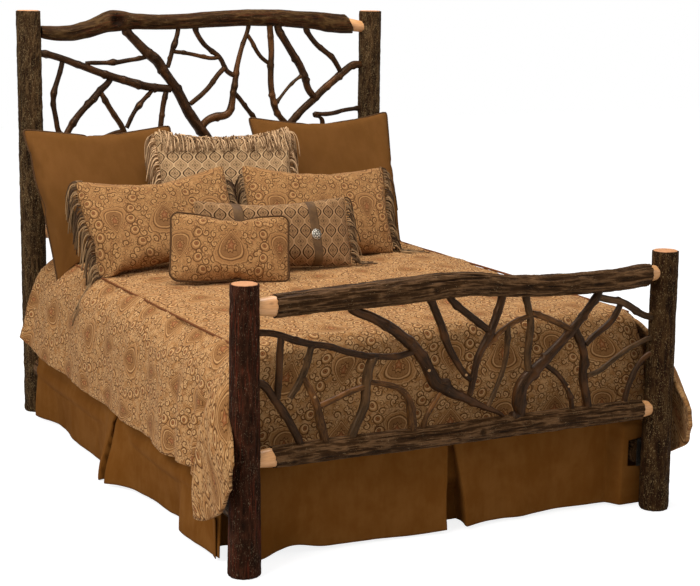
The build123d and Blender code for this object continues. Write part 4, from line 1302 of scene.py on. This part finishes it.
def make_welt():
    """The corded seam along each side of the comforter's top."""
    build = Build()
    y = stations_between(HEAD_EDGE_Y - 0.004, TURN_Y - 0.02, 0.008)
    x, z = interpolated(SEAM_LINE, y)
    for side in (-1, 1):
        sway = xyz(y / 0.13, side * 4.0, 0)
        line = xyz(side * (x - 0.001 + 0.0008 * noise(sway, 51)), y,
                   z - 0.0006 + 0.0006 * noise(sway, 52))
        add_tube(build, line, WELT_R, around=10)
    return build.piece("seam_welt", [RUST_WELT], "rust_cord", ["comforter_welt"])


# ---- skirt ---------------------------------------------------------------------------------------
SKIRT_TOP, SKIRT_HEM = 0.440, 0.006
SKIRT_T, SKIRT_ROWS, SKIRT_WAVE = 0.003, 54, 0.008
SIDE_SKIRT_Y, FOOT_SKIRT_X = (1.020, -1.012), (-0.738, 0.744)
SKIRT_OUT = 0.850                          # of a side skirt below the rail, from the middle
SIDE_PLEAT_Y, FOOT_PLEAT_X = -0.030, -0.010
BELOW_FRAME = (0.200, 0.120)               # a pleat deepens between these heights
PLEAT_TUCK = 0.026                         # how far its walls turn in behind its edges
# Where the side skirts' hems stand on the floor: y, distance from the middle.
SIDE_HEM = [(1.020, 0.864), (0.930, 0.847), (0.780, 0.828), (0.590, 0.847), (0.310, 0.836),
            (0.120, 0.864), (0.030, 0.908), (-0.054, 0.906), (-0.140, 0.866), (-0.290, 0.836),
            (-0.520, 0.812), (-0.610, 0.826), (-0.690, 0.872), (-0.850, 0.868), (-1.012, 0.864)]
# The left skirt's end turns in behind the foot post, below the side rail: points (x, y).
SKIRT_RETURN = [(-0.862, -1.000), (-0.846, -0.940), (-0.800, -0.890), (-0.750, -0.905),
                (-0.700, -0.930)]
RETURN_TOP = 0.150


def pleat(at, middle, z, half, deep, shallow):
    """Depth of an inverted pleat at places along a panel: it opens and deepens downward."""
    depth = shallow * smoothstep(SKIRT_TOP, 0.370, z)
    depth = depth + (deep - shallow) * smoothstep(*BELOW_FRAME, z)
    width = half * (0.25 + 0.75 * smoothstep(0.42, 0.0, z))
    return depth * smoothstep(1.0, 0.62, np.abs(at - middle) / width)


def undercut(at, middle, depth):
    """How far places in a pleat lie along the panel, where its walls turn in behind its edges."""
    return PLEAT_TUCK * np.sign(at - middle) * np.clip(depth / 0.06, 0, 1)


def waves(at, z, seed):
    """Waves of a hanging panel: none at its top, most at its hem."""
    wave = noise(xyz(at / 0.16, z * 0.9, 0), seed)
    fine = noise(xyz(at / 0.06, z * 1.5, 0), seed + 1)
    return smoothstep(0.42, 0.02, z) ** 1.2 * SKIRT_WAVE * (wave + 0.35 * fine)


def outline_at(z, points, count):
    """How far a panel's outline, given by a few points (height, distance), stands out at z."""
    path = curve_through(points, count)
    return np.interp(-z, -path[:, 0], path[:, 1])


def make_side_skirt(side):
    name = "skirt_left" if side < 0 else "skirt_right"
    y = stations_between(*SIDE_SKIRT_Y, 0.004)[:, None]
    z = np.linspace(SKIRT_TOP, SKIRT_HEM, SKIRT_ROWS)
    base = outline_at(z, [(SKIRT_TOP, 0.776), (0.400, 0.812), (0.330, 0.846), (0.262, SKIRT_OUT),
                          (0.160, SKIRT_OUT), (SKIRT_HEM, SKIRT_OUT)], 80)
    hem = curve_through(SIDE_HEM, 400)[::-1]
    spread = (np.interp(y, hem[:, 0], hem[:, 1]) - SKIRT_OUT) * smoothstep(0.30, 0.0, z) ** 1.2
    out = waves(y, z, 61 if side < 0 else 71) + (base + spread)
    middle = SIDE_PLEAT_Y + 0.012 * (1 - z / SKIRT_TOP)
    out = out + 0.022 * bell((y - middle) / 0.14) * smoothstep(0.300, 0.230, z)
    depth = pleat(y, middle, z, 0.030, 0.090, 0.055)
    out = out - depth
    rail_low, rail_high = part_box("side_rail_right")
    reach = (rail_high.z - rail_low.z) / 2 + 0.007
    beside_rail = np.clip(reach ** 2 - (z - (rail_low.z + rail_high.z) / 2) ** 2, 0, None)
    out = np.maximum(out, (rail_low.x + rail_high.x) / 2 + np.sqrt(beside_rail))
    hem_wave = 0.007 * (1 + noise(xyz(y / 0.11, 0, 0), 64))
    build = Build()
    build.sheet(xyz(side * out, y + undercut(y, middle, depth),
                    z + hem_wave * (1 - z / SKIRT_TOP)), turned=side > 0, flat=xyz(y, z, side))
    if side < 0:
        run = curve_through(SKIRT_RETURN, 30)
        drop = np.linspace(RETURN_TOP, 0.012, 18)
        build.sheet(xyz(run[:, :1], run[:, 1:], drop),
                    flat=xyz(SIDE_SKIRT_Y[1] - arc_length(run)[:, None], drop, side))
    skirt = build.piece(name + "_panel", [SKIRT_SUEDE], "brown_suede", [name])
    thicken(skirt, SKIRT_T)


def make_foot_skirt():
    x = np.linspace(*FOOT_SKIRT_X, 440)[:, None]
    z = np.linspace(SKIRT_TOP, SKIRT_HEM, SKIRT_ROWS)
    out = waves(x, z, 81) + outline_at(z, [(SKIRT_TOP, 1.022), (0.262, 1.036),
                                           (SKIRT_HEM, 1.046)], 40)
    middle = FOOT_PLEAT_X + 0.034 * (1 - z / SKIRT_TOP)
    out = out + 0.030 * bell((x - middle) / 0.16) * smoothstep(SKIRT_TOP, 0.360, z)
    depth = pleat(x, middle, z, 0.042, 0.100, 0.045)
    out = out - depth
    # Beside the side rail it turns out to the post, and below and above the rail it spreads.
    turned = smoothstep(0.680, 0.728, x) * smoothstep(0.340, 0.300, z)
    out = np.where(x > 0.680, np.minimum(out + 0.055 * turned, 1.088), out)
    clear = smoothstep(0.152, 0.148, z) + smoothstep(0.257, 0.261, z)
    x_hung = x + undercut(x, middle, depth) + turned * clear * 0.096 * smoothstep(0.728, 0.744, x)
    x_hung = x_hung - 0.010 * clear * smoothstep(-0.728, -0.738, x)
    out = out + 0.022 * smoothstep(0.20, 0.0, z) * smoothstep(-0.66, -0.74, x)
    lift = 0.005 * (1 + noise(xyz(x / 0.15, 0, 0), 84)) + 0.028 * bell((x + 0.60) / 0.08)
    build = Build()
    build.sheet(xyz(x_hung, -out, z + lift * (1 - z / SKIRT_TOP)), turned=True,
                flat=xyz(x, z, 5))
    skirt = build.piece("skirt_foot_panel", [SKIRT_SUEDE], "brown_suede", ["skirt_foot"])
    thicken(skirt, SKIRT_T)


# ---- mattress, box spring and bare frame ---------------------------------------------------------
def dress_frame():
    """Give the shown nodes of the frame their surfaces."""
    surfaces = {"sawn_pine": pine_material(), "zinc_steel": zinc_material()}
    for node, obj in frame["nodes"].items():
        surface = surfaces.get(slot_of(node))
        if surface:
            for slot in obj.material_slots:
                slot.material = surface


BLOCK_AROUND = 520
TAPE_R = 0.006
QUILT_STEP, QUILT_DEPTH = 0.19, 0.004


def make_block(node, name, corner, edge, swell, tuft_rows):
    """A stuffed block with swollen, quilted borders and tape at its edges."""
    low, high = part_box(node)
    half = np.array([high.x - low.x, high.y - low.y]) / 2
    middle = np.array([low.x + high.x, low.y + high.y]) / 2
    outline = []
    for turn, signs in enumerate(((1, 1), (-1, 1), (-1, -1), (1, -1))):
        centre = np.array(signs) * (half - corner)
        for a in np.linspace(0, math.pi / 2, 9) + turn * math.pi / 2:
            outline.append(centre + corner * np.array([math.cos(a), math.sin(a)]))
    ends = np.vstack([outline, outline[:1]])
    length = arc_length(ends)
    even = np.linspace(0, length[-1], BLOCK_AROUND, endpoint=False)
    ring = np.stack([np.interp(even, length, ends[:, k]) for k in (0, 1)], axis=1)
    height = high.z - low.z
    rounding = [(edge * (1 - 0.65 * math.sin(a)), edge * (1 - math.cos(a)))
                for a in np.linspace(0, math.pi / 2, 6)]
    up = np.linspace(0, 1, 30)[1:-1]
    inward = [0.06, 0.15, 0.3, 0.5, half[0] * 0.96]
    profile = [(inset, low.z) for inset in inward[::-1]]
    profile += [(inset, low.z + lift) for inset, lift in rounding]
    profile += zip(edge * 0.35 - swell * np.sin(math.pi * up), low.z + edge
                   + (height - 2 * edge) * up)
    profile += [(inset, high.z - lift) for inset, lift in rounding[::-1]]
    profile += [(inset, high.z) for inset in inward]
    rings, flats = [], []
    for inset, z in profile:
        border = (z > low.z + edge) * (z < high.z - edge)
        quilt = (QUILT_DEPTH * np.abs(np.sin(even * math.pi / QUILT_STEP)) * border
                 * abs(math.sin((z - low.z) / height * math.pi * tuft_rows)))
        spot = middle + ring * np.maximum(1 - inset / half, 0.02) + unit(ring) * quilt[:, None]
        rings.append(xyz(*spot.T, z))
        flats.append(xyz(even, z + inset, 0))
    build = Build()
    build.rings(rings, caps=(True, True), flat=flats)
    for z in (low.z + 0.7 * edge, high.z - 0.7 * edge):
        loop = xyz(*(middle + ring * (1 - 0.3 * edge / half[1])).T, z)
        add_tube(build, np.vstack([loop, loop[:1]]), TAPE_R, slot=1)
    block = build.piece(name, [TICKING, TAPE], "ticking", [node])


# ---- pillows -------------------------------------------------------------------------------------
# Sag is how far the top edge hangs, bow how far the upper, lower and side edges swell between the
# corners, and tilt how many degrees the pillow leans over to the right.
PILLOWS = {
    "euro_pillow_left": dict(cloth=EURO_SUEDE, slot="tan_suede", piping=0.0038, sag=0.004,
                             bow=(0.03, 0.12, 0.03), corner=0.012, tilt=0.0),
    "euro_pillow_right": dict(cloth=EURO_SUEDE, slot="tan_suede", piping=0.0038, sag=0.014,
                              bow=(0.03, 0.12, 0.02), corner=0.012, tilt=-1.0),
    "fringed_square_pillow": dict(cloth=LATTICE, slot="taupe_jacquard", sag=0.028,
                                  bow=(0.03, 0.12, 0.03), corner=0.014, tilt=0.0, yarn="light",
                                  fringe=("left", "right", "top"), strand=0.125),
    "sham_left": dict(cloth=SHADED_PILLOW_PAISLEY, slot="paisley_jacquard", sag=0.020,
                      bow=(0.03, 0.17, 0.02), corner=0.018, tilt=-4.5, yarn="dark",
                      fringe=("left", "right"), strand=0.138),
    "sham_right": dict(cloth=SHADED_PILLOW_PAISLEY, slot="paisley_jacquard", sag=0.010,
                       bow=(0.03, 0.17, 0.02), corner=0.018, tilt=3.2, yarn="dark",
                       fringe=("left", "right"), strand=0.165),
    "lumbar_pillow": dict(cloth=SHADED_LUMBAR_LATTICE, slot="taupe_jacquard", sag=0.004,
                          bow=(0.04, 0.17, 0.00), corner=0.018, tilt=1.6, yarn="dark",
                          fringe=("right",), strand=0.110),
    "boudoir_pillow": dict(cloth=SHADED_PILLOW_PAISLEY, slot="paisley_jacquard", piping=0.0034,
                           sag=0.0, bow=(0.07, 0.17, -0.01), corner=0.034, tilt=1.8),
}
PILLOW_STEP = 0.0105
SIM_FRAMES = 34
CLOTH = {"quality": 6, "mass": 0.25, "tension_stiffness": 25, "compression_stiffness": 12,
         "shear_stiffness": 10, "bending_stiffness": 0.6, "use_pressure": True,
         "uniform_pressure_force": 1.4}
SEWN_PUFF = 0.020                           # height of the flat shell before it swells
SEWN_SPARE = 1.02                           # its size over the pillow's
CREASE = 0.0035
DROOP, TUCK = 0.60, 0.30                    # of the part of a pillow beyond the mattress
MATTRESS_X = 0.70                           # past this a pillow droops


def bed_height(points):
    """Height of the comforter under each point, and a little more."""
    away = np.clip(np.abs(points[:, 0]) - SEAM_X, 0, None)
    drop = 0.62 * away + 6.6 * away ** 2
    return np.where(away > 0, SEAM_Z - drop, top_height(points[:, 0])) + 0.004


def pillow_axes(node):
    """Middle, axes (width, back, up) and sizes of a pillow's solid."""
    samples = surface_samples(*node_mesh(node), spacing=0.006)
    middle = samples.mean(axis=0)
    axes = np.linalg.svd(samples - middle, full_matrices=False)[2]
    width = axes[np.abs(axes[:, 0]).argmax()]
    others = [axis for axis in axes if abs(axis @ width) < 0.5]
    up = max(others, key=lambda axis: abs(axis[2]))
    width, up = width * np.sign(width[0]), up * np.sign(up[2])
    frame_axes = np.stack([width, np.cross(up, width), up])
    return middle, frame_axes, np.ptp((samples - middle) @ frame_axes.T, axis=0)


def pillow_shell(width, height, corner):
    """Two panels sewn along their edges, and the flat places of their points."""
    u, v = np.meshgrid(*(np.linspace(-size / 2, size / 2, int(size / PILLOW_STEP))
                         for size in (width, height)))
    rim = np.minimum(1 - np.abs(u) * 2 / width, 1 - np.abs(v) * 2 / height)
    puff = SEWN_PUFF * np.sqrt(np.clip(rim, 0, 1))
    in_u, in_v = (np.clip(np.abs(at) - size / 2 + corner, 0, None) / corner
                  for at, size in ((u, width), (v, height)))
    round_u = u - np.sign(u) * corner * in_u * (1 - np.sqrt(1 - in_v ** 2 / 2))
    round_v = v - np.sign(v) * corner * in_v * (1 - np.sqrt(1 - in_u ** 2 / 2))
    build = Build()
    for side in (-1, 1):
        build.sheet(xyz(round_u, side * puff, round_v), turned=side > 0, flat=xyz(u, v, side + 1))
    return build


def inflate(obj, thick):
    """Swell a sewn shell with Blender's cloth until it is as thick as the pillow."""
    modifier = obj.modifiers.new("cloth", "CLOTH")
    for setting, value in CLOTH.items():
        setattr(modifier.settings, setting, value)
    modifier.settings.effector_weights.gravity = 0
    modifier.collision_settings.use_collision = False
    modifier.point_cache.frame_start = 1
    modifier.point_cache.frame_end = SIM_FRAMES
    scene = bpy.context.scene
    for number in range(1, SIM_FRAMES + 1):
        scene.frame_set(number)
        made = obj.evaluated_get(bpy.context.evaluated_depsgraph_get()).data
        if np.ptp(coordinates(made)[:, 1]) > thick:
            break
    apply_modifiers(obj)
    scene.frame_set(1)


def settle(local, sizes, style):
    """Fit a swollen shell to its sizes, slumped a little: fuller below, its top edge hanging."""
    width, _, height = sizes
    local = local * sizes / np.ptp(local, axis=0)
    across, up = 2 * local[:, 0] / width, 2 * local[:, 2] / height
    along_top, along_side = np.clip(1 - across ** 2, 0, 1), np.clip(1 - up ** 2, 0, 1)
    local[:, 1] *= 1.0 - 0.14 * up
    bow_high, bow_low, bow_side = style["bow"]
    local[:, 0] *= 1 + bow_side * along_side
    local[:, 2] *= 1 + np.where(up > 0, bow_high, bow_low) * along_top
    local[:, 2] -= style["sag"] * smoothstep(-0.4, 1.0, up) * along_top
    tilt = math.radians(style["tilt"])
    x, y, z = local.T
    return xyz(math.cos(tilt) * x + math.sin(tilt) * z, y,
               math.cos(tilt) * z - math.sin(tilt) * x + 0.3 * width * abs(math.sin(tilt)))


def make_pillow(node, style):
    middle, axes, sizes = pillow_axes(node)
    width, thick, height = sizes
    build = pillow_shell(width * SEWN_SPARE, height * SEWN_SPARE, style["corner"])
    pillow = build.piece(node + "_cover", [style["cloth"]], style["slot"], [node])
    weld(pillow.data, 0.0005)
    rim = np.abs(coordinates(pillow.data)[:, 1]) < 1e-6
    inflate(pillow, thick)
    local = coordinates(pillow.data)
    local = settle(local, sizes, style)
    flat = coordinates(pillow.data, "flat")
    creases = rough(xyz(flat[:, 0] / 0.07, flat[:, 1] / 0.10, seed_of(node) % 97), 3)
    local[:, 1] += np.sign(local[:, 1]) * CREASE * creases * ~rim
    world = middle + local @ axes
    above = smoothstep(0.6, 0.0, (world[:, 2] - TOP_Z) / height)
    beyond = np.clip(np.abs(world[:, 0]) - MATTRESS_X, 0, None) * above
    world[:, 0] -= TUCK * beyond * np.sign(world[:, 0])
    world[:, 2] = np.maximum(world[:, 2] - DROOP * beyond, bed_height(world))
    move_points(pillow.data, world)
    subdivide(pillow)
    smooth_shading(pillow.data)
    around = np.arctan2(local[rim, 2] / height, local[rim, 0] / width)
    order = np.argsort(around)
    return Placed(node, pillow, middle, axes, world[rim][order], around[order])


def subdivide(obj):
    modifier = obj.modifiers.new("smooth", "SUBSURF")
    modifier.levels = modifier.render_levels = 1
    apply_modifiers(obj)


class Placed:
    """A pillow in its place, with its seam as a closed line of points."""

    def __init__(self, node, piece, middle, axes, seam, seam_angle):
        self.node, self.middle, self.seam, self.seam_angle = node, middle, seam, seam_angle
        self.width_dir, self.back_dir, self.up_dir = axes
        mesh = piece.data
        mesh.calc_loop_triangles()
        self.tree = BVHTree.FromPolygons([v.co for v in mesh.vertices],
                                         [t.vertices for t in mesh.loop_triangles])

    def pushed_out(self, point, margin):
        """The point, moved out of the pillow to at least a margin from its surface."""
        spot, normal, _, distance = self.tree.find_nearest(Vector(point))
        if (Vector(point) - spot).dot(normal) < margin and distance < 0.08:
            return np.array(spot + normal * margin)
        return point


def make_piping(placed, radius):
    """Covered cord sewn into a pillow's seam."""
    line = np.vstack([placed.seam, placed.seam[:1]])
    line = curve_through(line[::2] if len(line) % 2 else np.vstack([line[::2], line[-1:]]), 520)
    line[:, 2] = np.maximum(line[:, 2], bed_height(line) + radius * 0.5)
    build = Build()
    add_tube(build, line, radius)
    build.piece(placed.node + "_piping", [DARK_PIPING], slot_of(placed.node), ())


STRAND_PITCH, STRAND_STEPS = 0.0042, 10
STRAND_HALF, STRAND_THIN = 0.0023, 0.0008
STRAND_CLEAR = 0.0022                       # how far a strip's middle stays off a pillow
EDGES = {"right": (-0.74, 0.78), "top": (0.80, 2.34), "left": (2.36, 3.88)}   # seam angles


def make_fringe(placed, edges, length, yarn):
    """Hanging strips sewn into a pillow's edges; they lie on the pillow and on the bed."""
    rng = np.random.default_rng(seed_of(placed.node))
    build = Build()
    angle = np.concatenate([placed.seam_angle, placed.seam_angle + math.tau])
    seam = np.vstack([placed.seam, placed.seam])
    front = -placed.back_dir
    for edge in edges:
        low, high = EDGES[edge]
        turned = math.tau if low < 0 else 0.0
        picked = seam[(angle > low + turned) & (angle < high + turned)]
        run = arc_length(picked)
        outward = {"right": placed.width_dir, "left": -placed.width_dir,
                   "top": placed.up_dir}[edge]
        along = unit(np.cross(outward, front))
        top = edge == "top"
        for at in np.arange(0, run[-1], STRAND_PITCH):
            start = np.array([np.interp(at + rng.uniform(-0.004, 0.004), run, picked[:, k])
                              for k in range(3)])
            heading = unit(outward * (0.45 if top else 1.0)
                           + front * (rng.uniform(0.4, 0.8) if top else rng.uniform(-0.1, 0.5))
                           + along * rng.normal(0, 0.13))
            stiff = rng.uniform(0.014, 0.024) if top else rng.uniform(0.018, 0.036)
            add_strand(build, placed, start, heading, length * rng.uniform(0.80, 1.10), stiff,
                       rng)
    build.piece(placed.node + "_fringe", [yarn], slot_of(placed.node), ())


def add_strand(build, placed, start, heading, span, stiff, rng):
    """One strip: it leaves the seam, bends down, and slides over the pillow and along the bed."""
    step = span / STRAND_STEPS
    point, line = start, [start]
    sway = rng.normal(0, 0.07, 3)
    level_way = unit((heading + 0.5 * sway) * np.array([1, 1, 0]))
    for number in range(STRAND_STEPS):
        fall = 1 - math.exp(-(number + 0.5) * step / stiff)
        way = unit(heading * (1 - fall) + (-UP + sway) * fall)
        _, normal, _, distance = placed.tree.find_nearest(Vector(point))
        normal = np.array(normal)
        inward = way @ normal
        if distance < 0.010 and inward < 0.05:
            way = unit(way + (0.05 - inward) * normal)
        moved = placed.pushed_out(point + way * step, STRAND_CLEAR)
        if moved[2] < bed_height(moved[None])[0] + 0.002:
            moved = placed.pushed_out(point + level_way * step, STRAND_CLEAR)
            moved[2] = bed_height(moved[None])[0] + 0.002 + 0.004 * rng.uniform()
        point = moved
        line.append(point)
    line = np.array(line)
    along = unit(np.gradient(line, axis=0))
    turn = rng.uniform(-0.6, 0.6)
    side = unit(np.cross(along, -placed.back_dir) * math.cos(turn)
                + np.cross(along, placed.width_dir) * math.sin(turn))
    thin = unit(np.cross(along, side)) * STRAND_THIN
    wide = side * STRAND_HALF * np.linspace(1.0, 0.85, len(line))[:, None]
    ring = np.stack([line - wide - thin, line + wide - thin, line + wide + thin,
                     line - wide + thin], axis=1)
    build.rings(ring, caps=(False, True), tone=np.full(ring.shape[:2], rng.uniform() ** 1.3))


STRAP_X, STRAP_HALF, STRAP_THICK, STRAP_AROUND = (-0.160, 0.166), 0.020, 0.0026, 90


def make_straps(placed):
    """Two leather straps round the lumbar pillow."""
    build = Build()
    for x in STRAP_X:
        outer = []
        for offset in np.linspace(-STRAP_HALF, STRAP_HALF, 7):
            centre = placed.middle + (x + offset) * placed.width_dir
            ring = []
            for a in np.linspace(0, math.tau, STRAP_AROUND, endpoint=False):
                way = math.cos(a) * -placed.back_dir + math.sin(a) * placed.up_dir
                spot = placed.tree.ray_cast(Vector(centre + way * 0.4), Vector(-way))[0]
                ring.append(np.array(spot) if spot else centre + way * 0.05)
            outer.append(ring)
        outer = np.array(outer)
        outer = 0.5 * outer + 0.25 * (np.roll(outer, 1, axis=1) + np.roll(outer, -1, axis=1))
        centre = placed.middle + x * placed.width_dir
        spokes = outer - (centre + (outer - centre) @ placed.width_dir[:, None]
                          * placed.width_dir)
        spokes = spokes / np.linalg.norm(spokes, axis=2, keepdims=True)
        skin = outer + spokes * (STRAP_THICK + 0.0006)
        skin[:, :, 2] = np.maximum(skin[:, :, 2], TOP_Z + 0.002)
        under = outer + spokes * 0.0004
        loop = np.concatenate([skin, under[::-1], skin[:1]], axis=0)
        build.sheet(loop.transpose(1, 0, 2)[list(range(STRAP_AROUND)) + [0]])
    straps = build.piece("leather_straps", [STRAP_LEATHER], "strap_leather", ["lumbar_straps"])
    weld(straps.data)
    recalculate_normals(straps.data, outward=False)
    make_concho(placed)


CONCHO_R, CONCHO_AROUND = 0.021, 96
CONCHO_PROFILE = (             # share of its radius, height over the strap
    (0.0, -0.001), (1.0, -0.001), (1.02, 0.0008), (0.96, 0.0022), (0.86, 0.0026),
    (0.80, 0.0014), (0.74, 0.0016), (0.60, 0.0034), (0.44, 0.0042), (0.36, 0.0026),
    (0.30, 0.0030), (0.20, 0.0050), (0.08, 0.0056), (0.0, 0.0057))


def make_concho(placed):
    """Domed, fluted metal button on the right strap."""
    centre = placed.middle + STRAP_X[1] * placed.width_dir - 0.016 * placed.up_dir
    spot, normal, *_ = placed.tree.ray_cast(Vector(centre - placed.back_dir * 0.3),
                                            Vector(placed.back_dir))
    spot, normal = np.array(spot), np.array(normal)
    side = unit(placed.width_dir - (placed.width_dir @ normal) * normal)
    third = np.cross(normal, side)
    angle = np.linspace(0, math.tau, CONCHO_AROUND, endpoint=False)
    cos, sin = np.cos(angle), np.sin(angle)
    rings = []
    for share, lift in CONCHO_PROFILE:
        flute = 1 + 0.05 * np.cos(12 * angle) * (share > 0.85)
        petal = 0.0010 * np.abs(np.cos(6 * angle)) * (0.40 < share < 0.8)
        radius = CONCHO_R * max(share, 0.01) * flute
        rings.append(spot + normal * (STRAP_THICK + lift + petal)[:, None]
                     + radius[:, None] * (cos[:, None] * side + sin[:, None] * third))
    spread = np.array([[max(share, 0.01)] for share, _ in CONCHO_PROFILE])
    build = Build()
    build.rings(rings, flat=xyz(spread * cos, spread * sin, 0))
    build.piece("silver_concho", [CONCHO_SILVER], "concho_silver", ["strap_concho"])


def make_pillows():
    for node, style in PILLOWS.items():
        placed = make_pillow(node, style)
        if "piping" in style:
            make_piping(placed, style["piping"])
        if "fringe" in style:
            make_fringe(placed, style["fringe"], style["strand"], YARN[style["yarn"]])
        if node == "lumbar_pillow":
            make_straps(placed)


# ---- camera, floor and light ---------------------------------------------------------------------
CAMERA_AT = (-2.900, -5.892, 1.936)
CAMERA_YAW, CAMERA_PITCH, CAMERA_ROLL = (math.radians(a) for a in (27.32, 10.90, 0.74))
FOCAL_PIXELS, PHOTO_WIDTH = 1668, 700
SENSOR = 36.0


def placed_in_scene(name, data):
    obj = bpy.data.objects.new(name, data)
    bpy.context.scene.collection.objects.link(obj)
    return obj


def make_camera():
    yaw, pitch, roll = CAMERA_YAW, CAMERA_PITCH, CAMERA_ROLL
    ahead = Vector((math.sin(yaw), math.cos(yaw), 0))
    right = Vector((math.cos(yaw), -math.sin(yaw), 0))
    up = Vector((0, 0, 1))
    view = math.cos(pitch) * ahead - math.sin(pitch) * up
    down = -math.sin(pitch) * ahead - math.cos(pitch) * up
    x_axis = math.cos(roll) * right - math.sin(roll) * down
    y_axis = -(math.sin(roll) * right + math.cos(roll) * down)
    data = bpy.data.cameras.new("camera")
    data.sensor_width = SENSOR
    data.lens = FOCAL_PIXELS / PHOTO_WIDTH * SENSOR
    data.clip_end = 100
    camera = placed_in_scene("camera", data)
    rows = zip(x_axis, y_axis, -view, CAMERA_AT)
    camera.matrix_world = Matrix((*rows, (0, 0, 0, 1)))
    bpy.context.scene.camera = camera


FLOOR_HALF = 14
FLOOR_LIT, FLOOR_SEEN = (0.66, 0.66, 0.66, 1), (0.42, 0.42, 0.42, 1)    # by light, by the camera
FLOOR_GLOW = 0.84


def make_floor():
    mesh = bpy.data.meshes.new("floor")
    corners = [(FLOOR_HALF * x, FLOOR_HALF * y, 0) for x, y in ((-1, -1), (1, -1), (1, 1), (-1, 1))]
    mesh.from_pydata(corners, [], [(0, 1, 2, 3)])
    floor = placed_in_scene("floor", mesh)
    g = Graph("floor_white", Roughness=1.0, Specular_IOR_Level=0.0)
    seen = g.add("LightPath", {}, "Is Camera Ray")
    g.put(g.shader.inputs["Base Color"], g.mix(seen, FLOOR_LIT, FLOOR_SEEN))
    g.put(g.shader.inputs["Emission Color"], (1, 1, 1, 1))
    g.put(g.shader.inputs["Emission Strength"], seen * FLOOR_GLOW)
    mesh.materials.append(g.material)


WORLD_LIGHT = 0.40


def make_world():
    """Even light all round, which the camera sees as white."""
    world = bpy.data.worlds.new("studio")
    world.use_nodes = True
    tree = world.node_tree
    path = tree.nodes.new("ShaderNodeLightPath")
    strength = tree.nodes.new("ShaderNodeMapRange")
    strength.inputs["To Min"].default_value = WORLD_LIGHT
    strength.inputs["To Max"].default_value = 1.0
    tree.links.new(path.outputs["Is Camera Ray"], strength.inputs["Value"])
    background = tree.nodes["Background"]
    background.inputs["Color"].default_value = (1, 1, 1, 1)
    tree.links.new(strength.outputs[0], background.inputs["Strength"])
    bpy.context.scene.world = world


LAMPS = {                      # place, aim, size, power
    "key": ((-4.8, -2.6, 4.2), (0, 0, 0.6), 2.6, 205),
    "fill": ((3.6, -4.6, 3.0), (0, 0, 0.6), 3.0, 40),
    "top": ((-0.3, 0.4, 4.8), (0, 0, 0.5), 2.6, 170),
}


def make_lamps():
    for name, (place, aim, size, power) in LAMPS.items():
        data = bpy.data.lights.new(name, "AREA")
        data.size = size
        data.energy = power
        lamp = placed_in_scene(name, data)
        lamp.location = place
        lamp.rotation_euler = (Vector(aim) - Vector(place)).to_track_quat("-Z", "Y").to_euler()


# ---- all of it -----------------------------------------------------------------------------------
bpy.context.scene.view_settings.view_transform = "Standard"
make_camera()
make_world()
make_lamps()
make_floor()
make_posts()
make_rails()
make_side_rails()
make_branches()
dress_frame()
make_block("box_spring", "box_spring_cover", 0.050, 0.012, 0.004, 1)
make_block("mattress", "mattress_cover", 0.070, 0.028, 0.012, 2)
make_comforter()
make_side_skirt(-1)
make_side_skirt(1)
make_foot_skirt()
make_pillows()
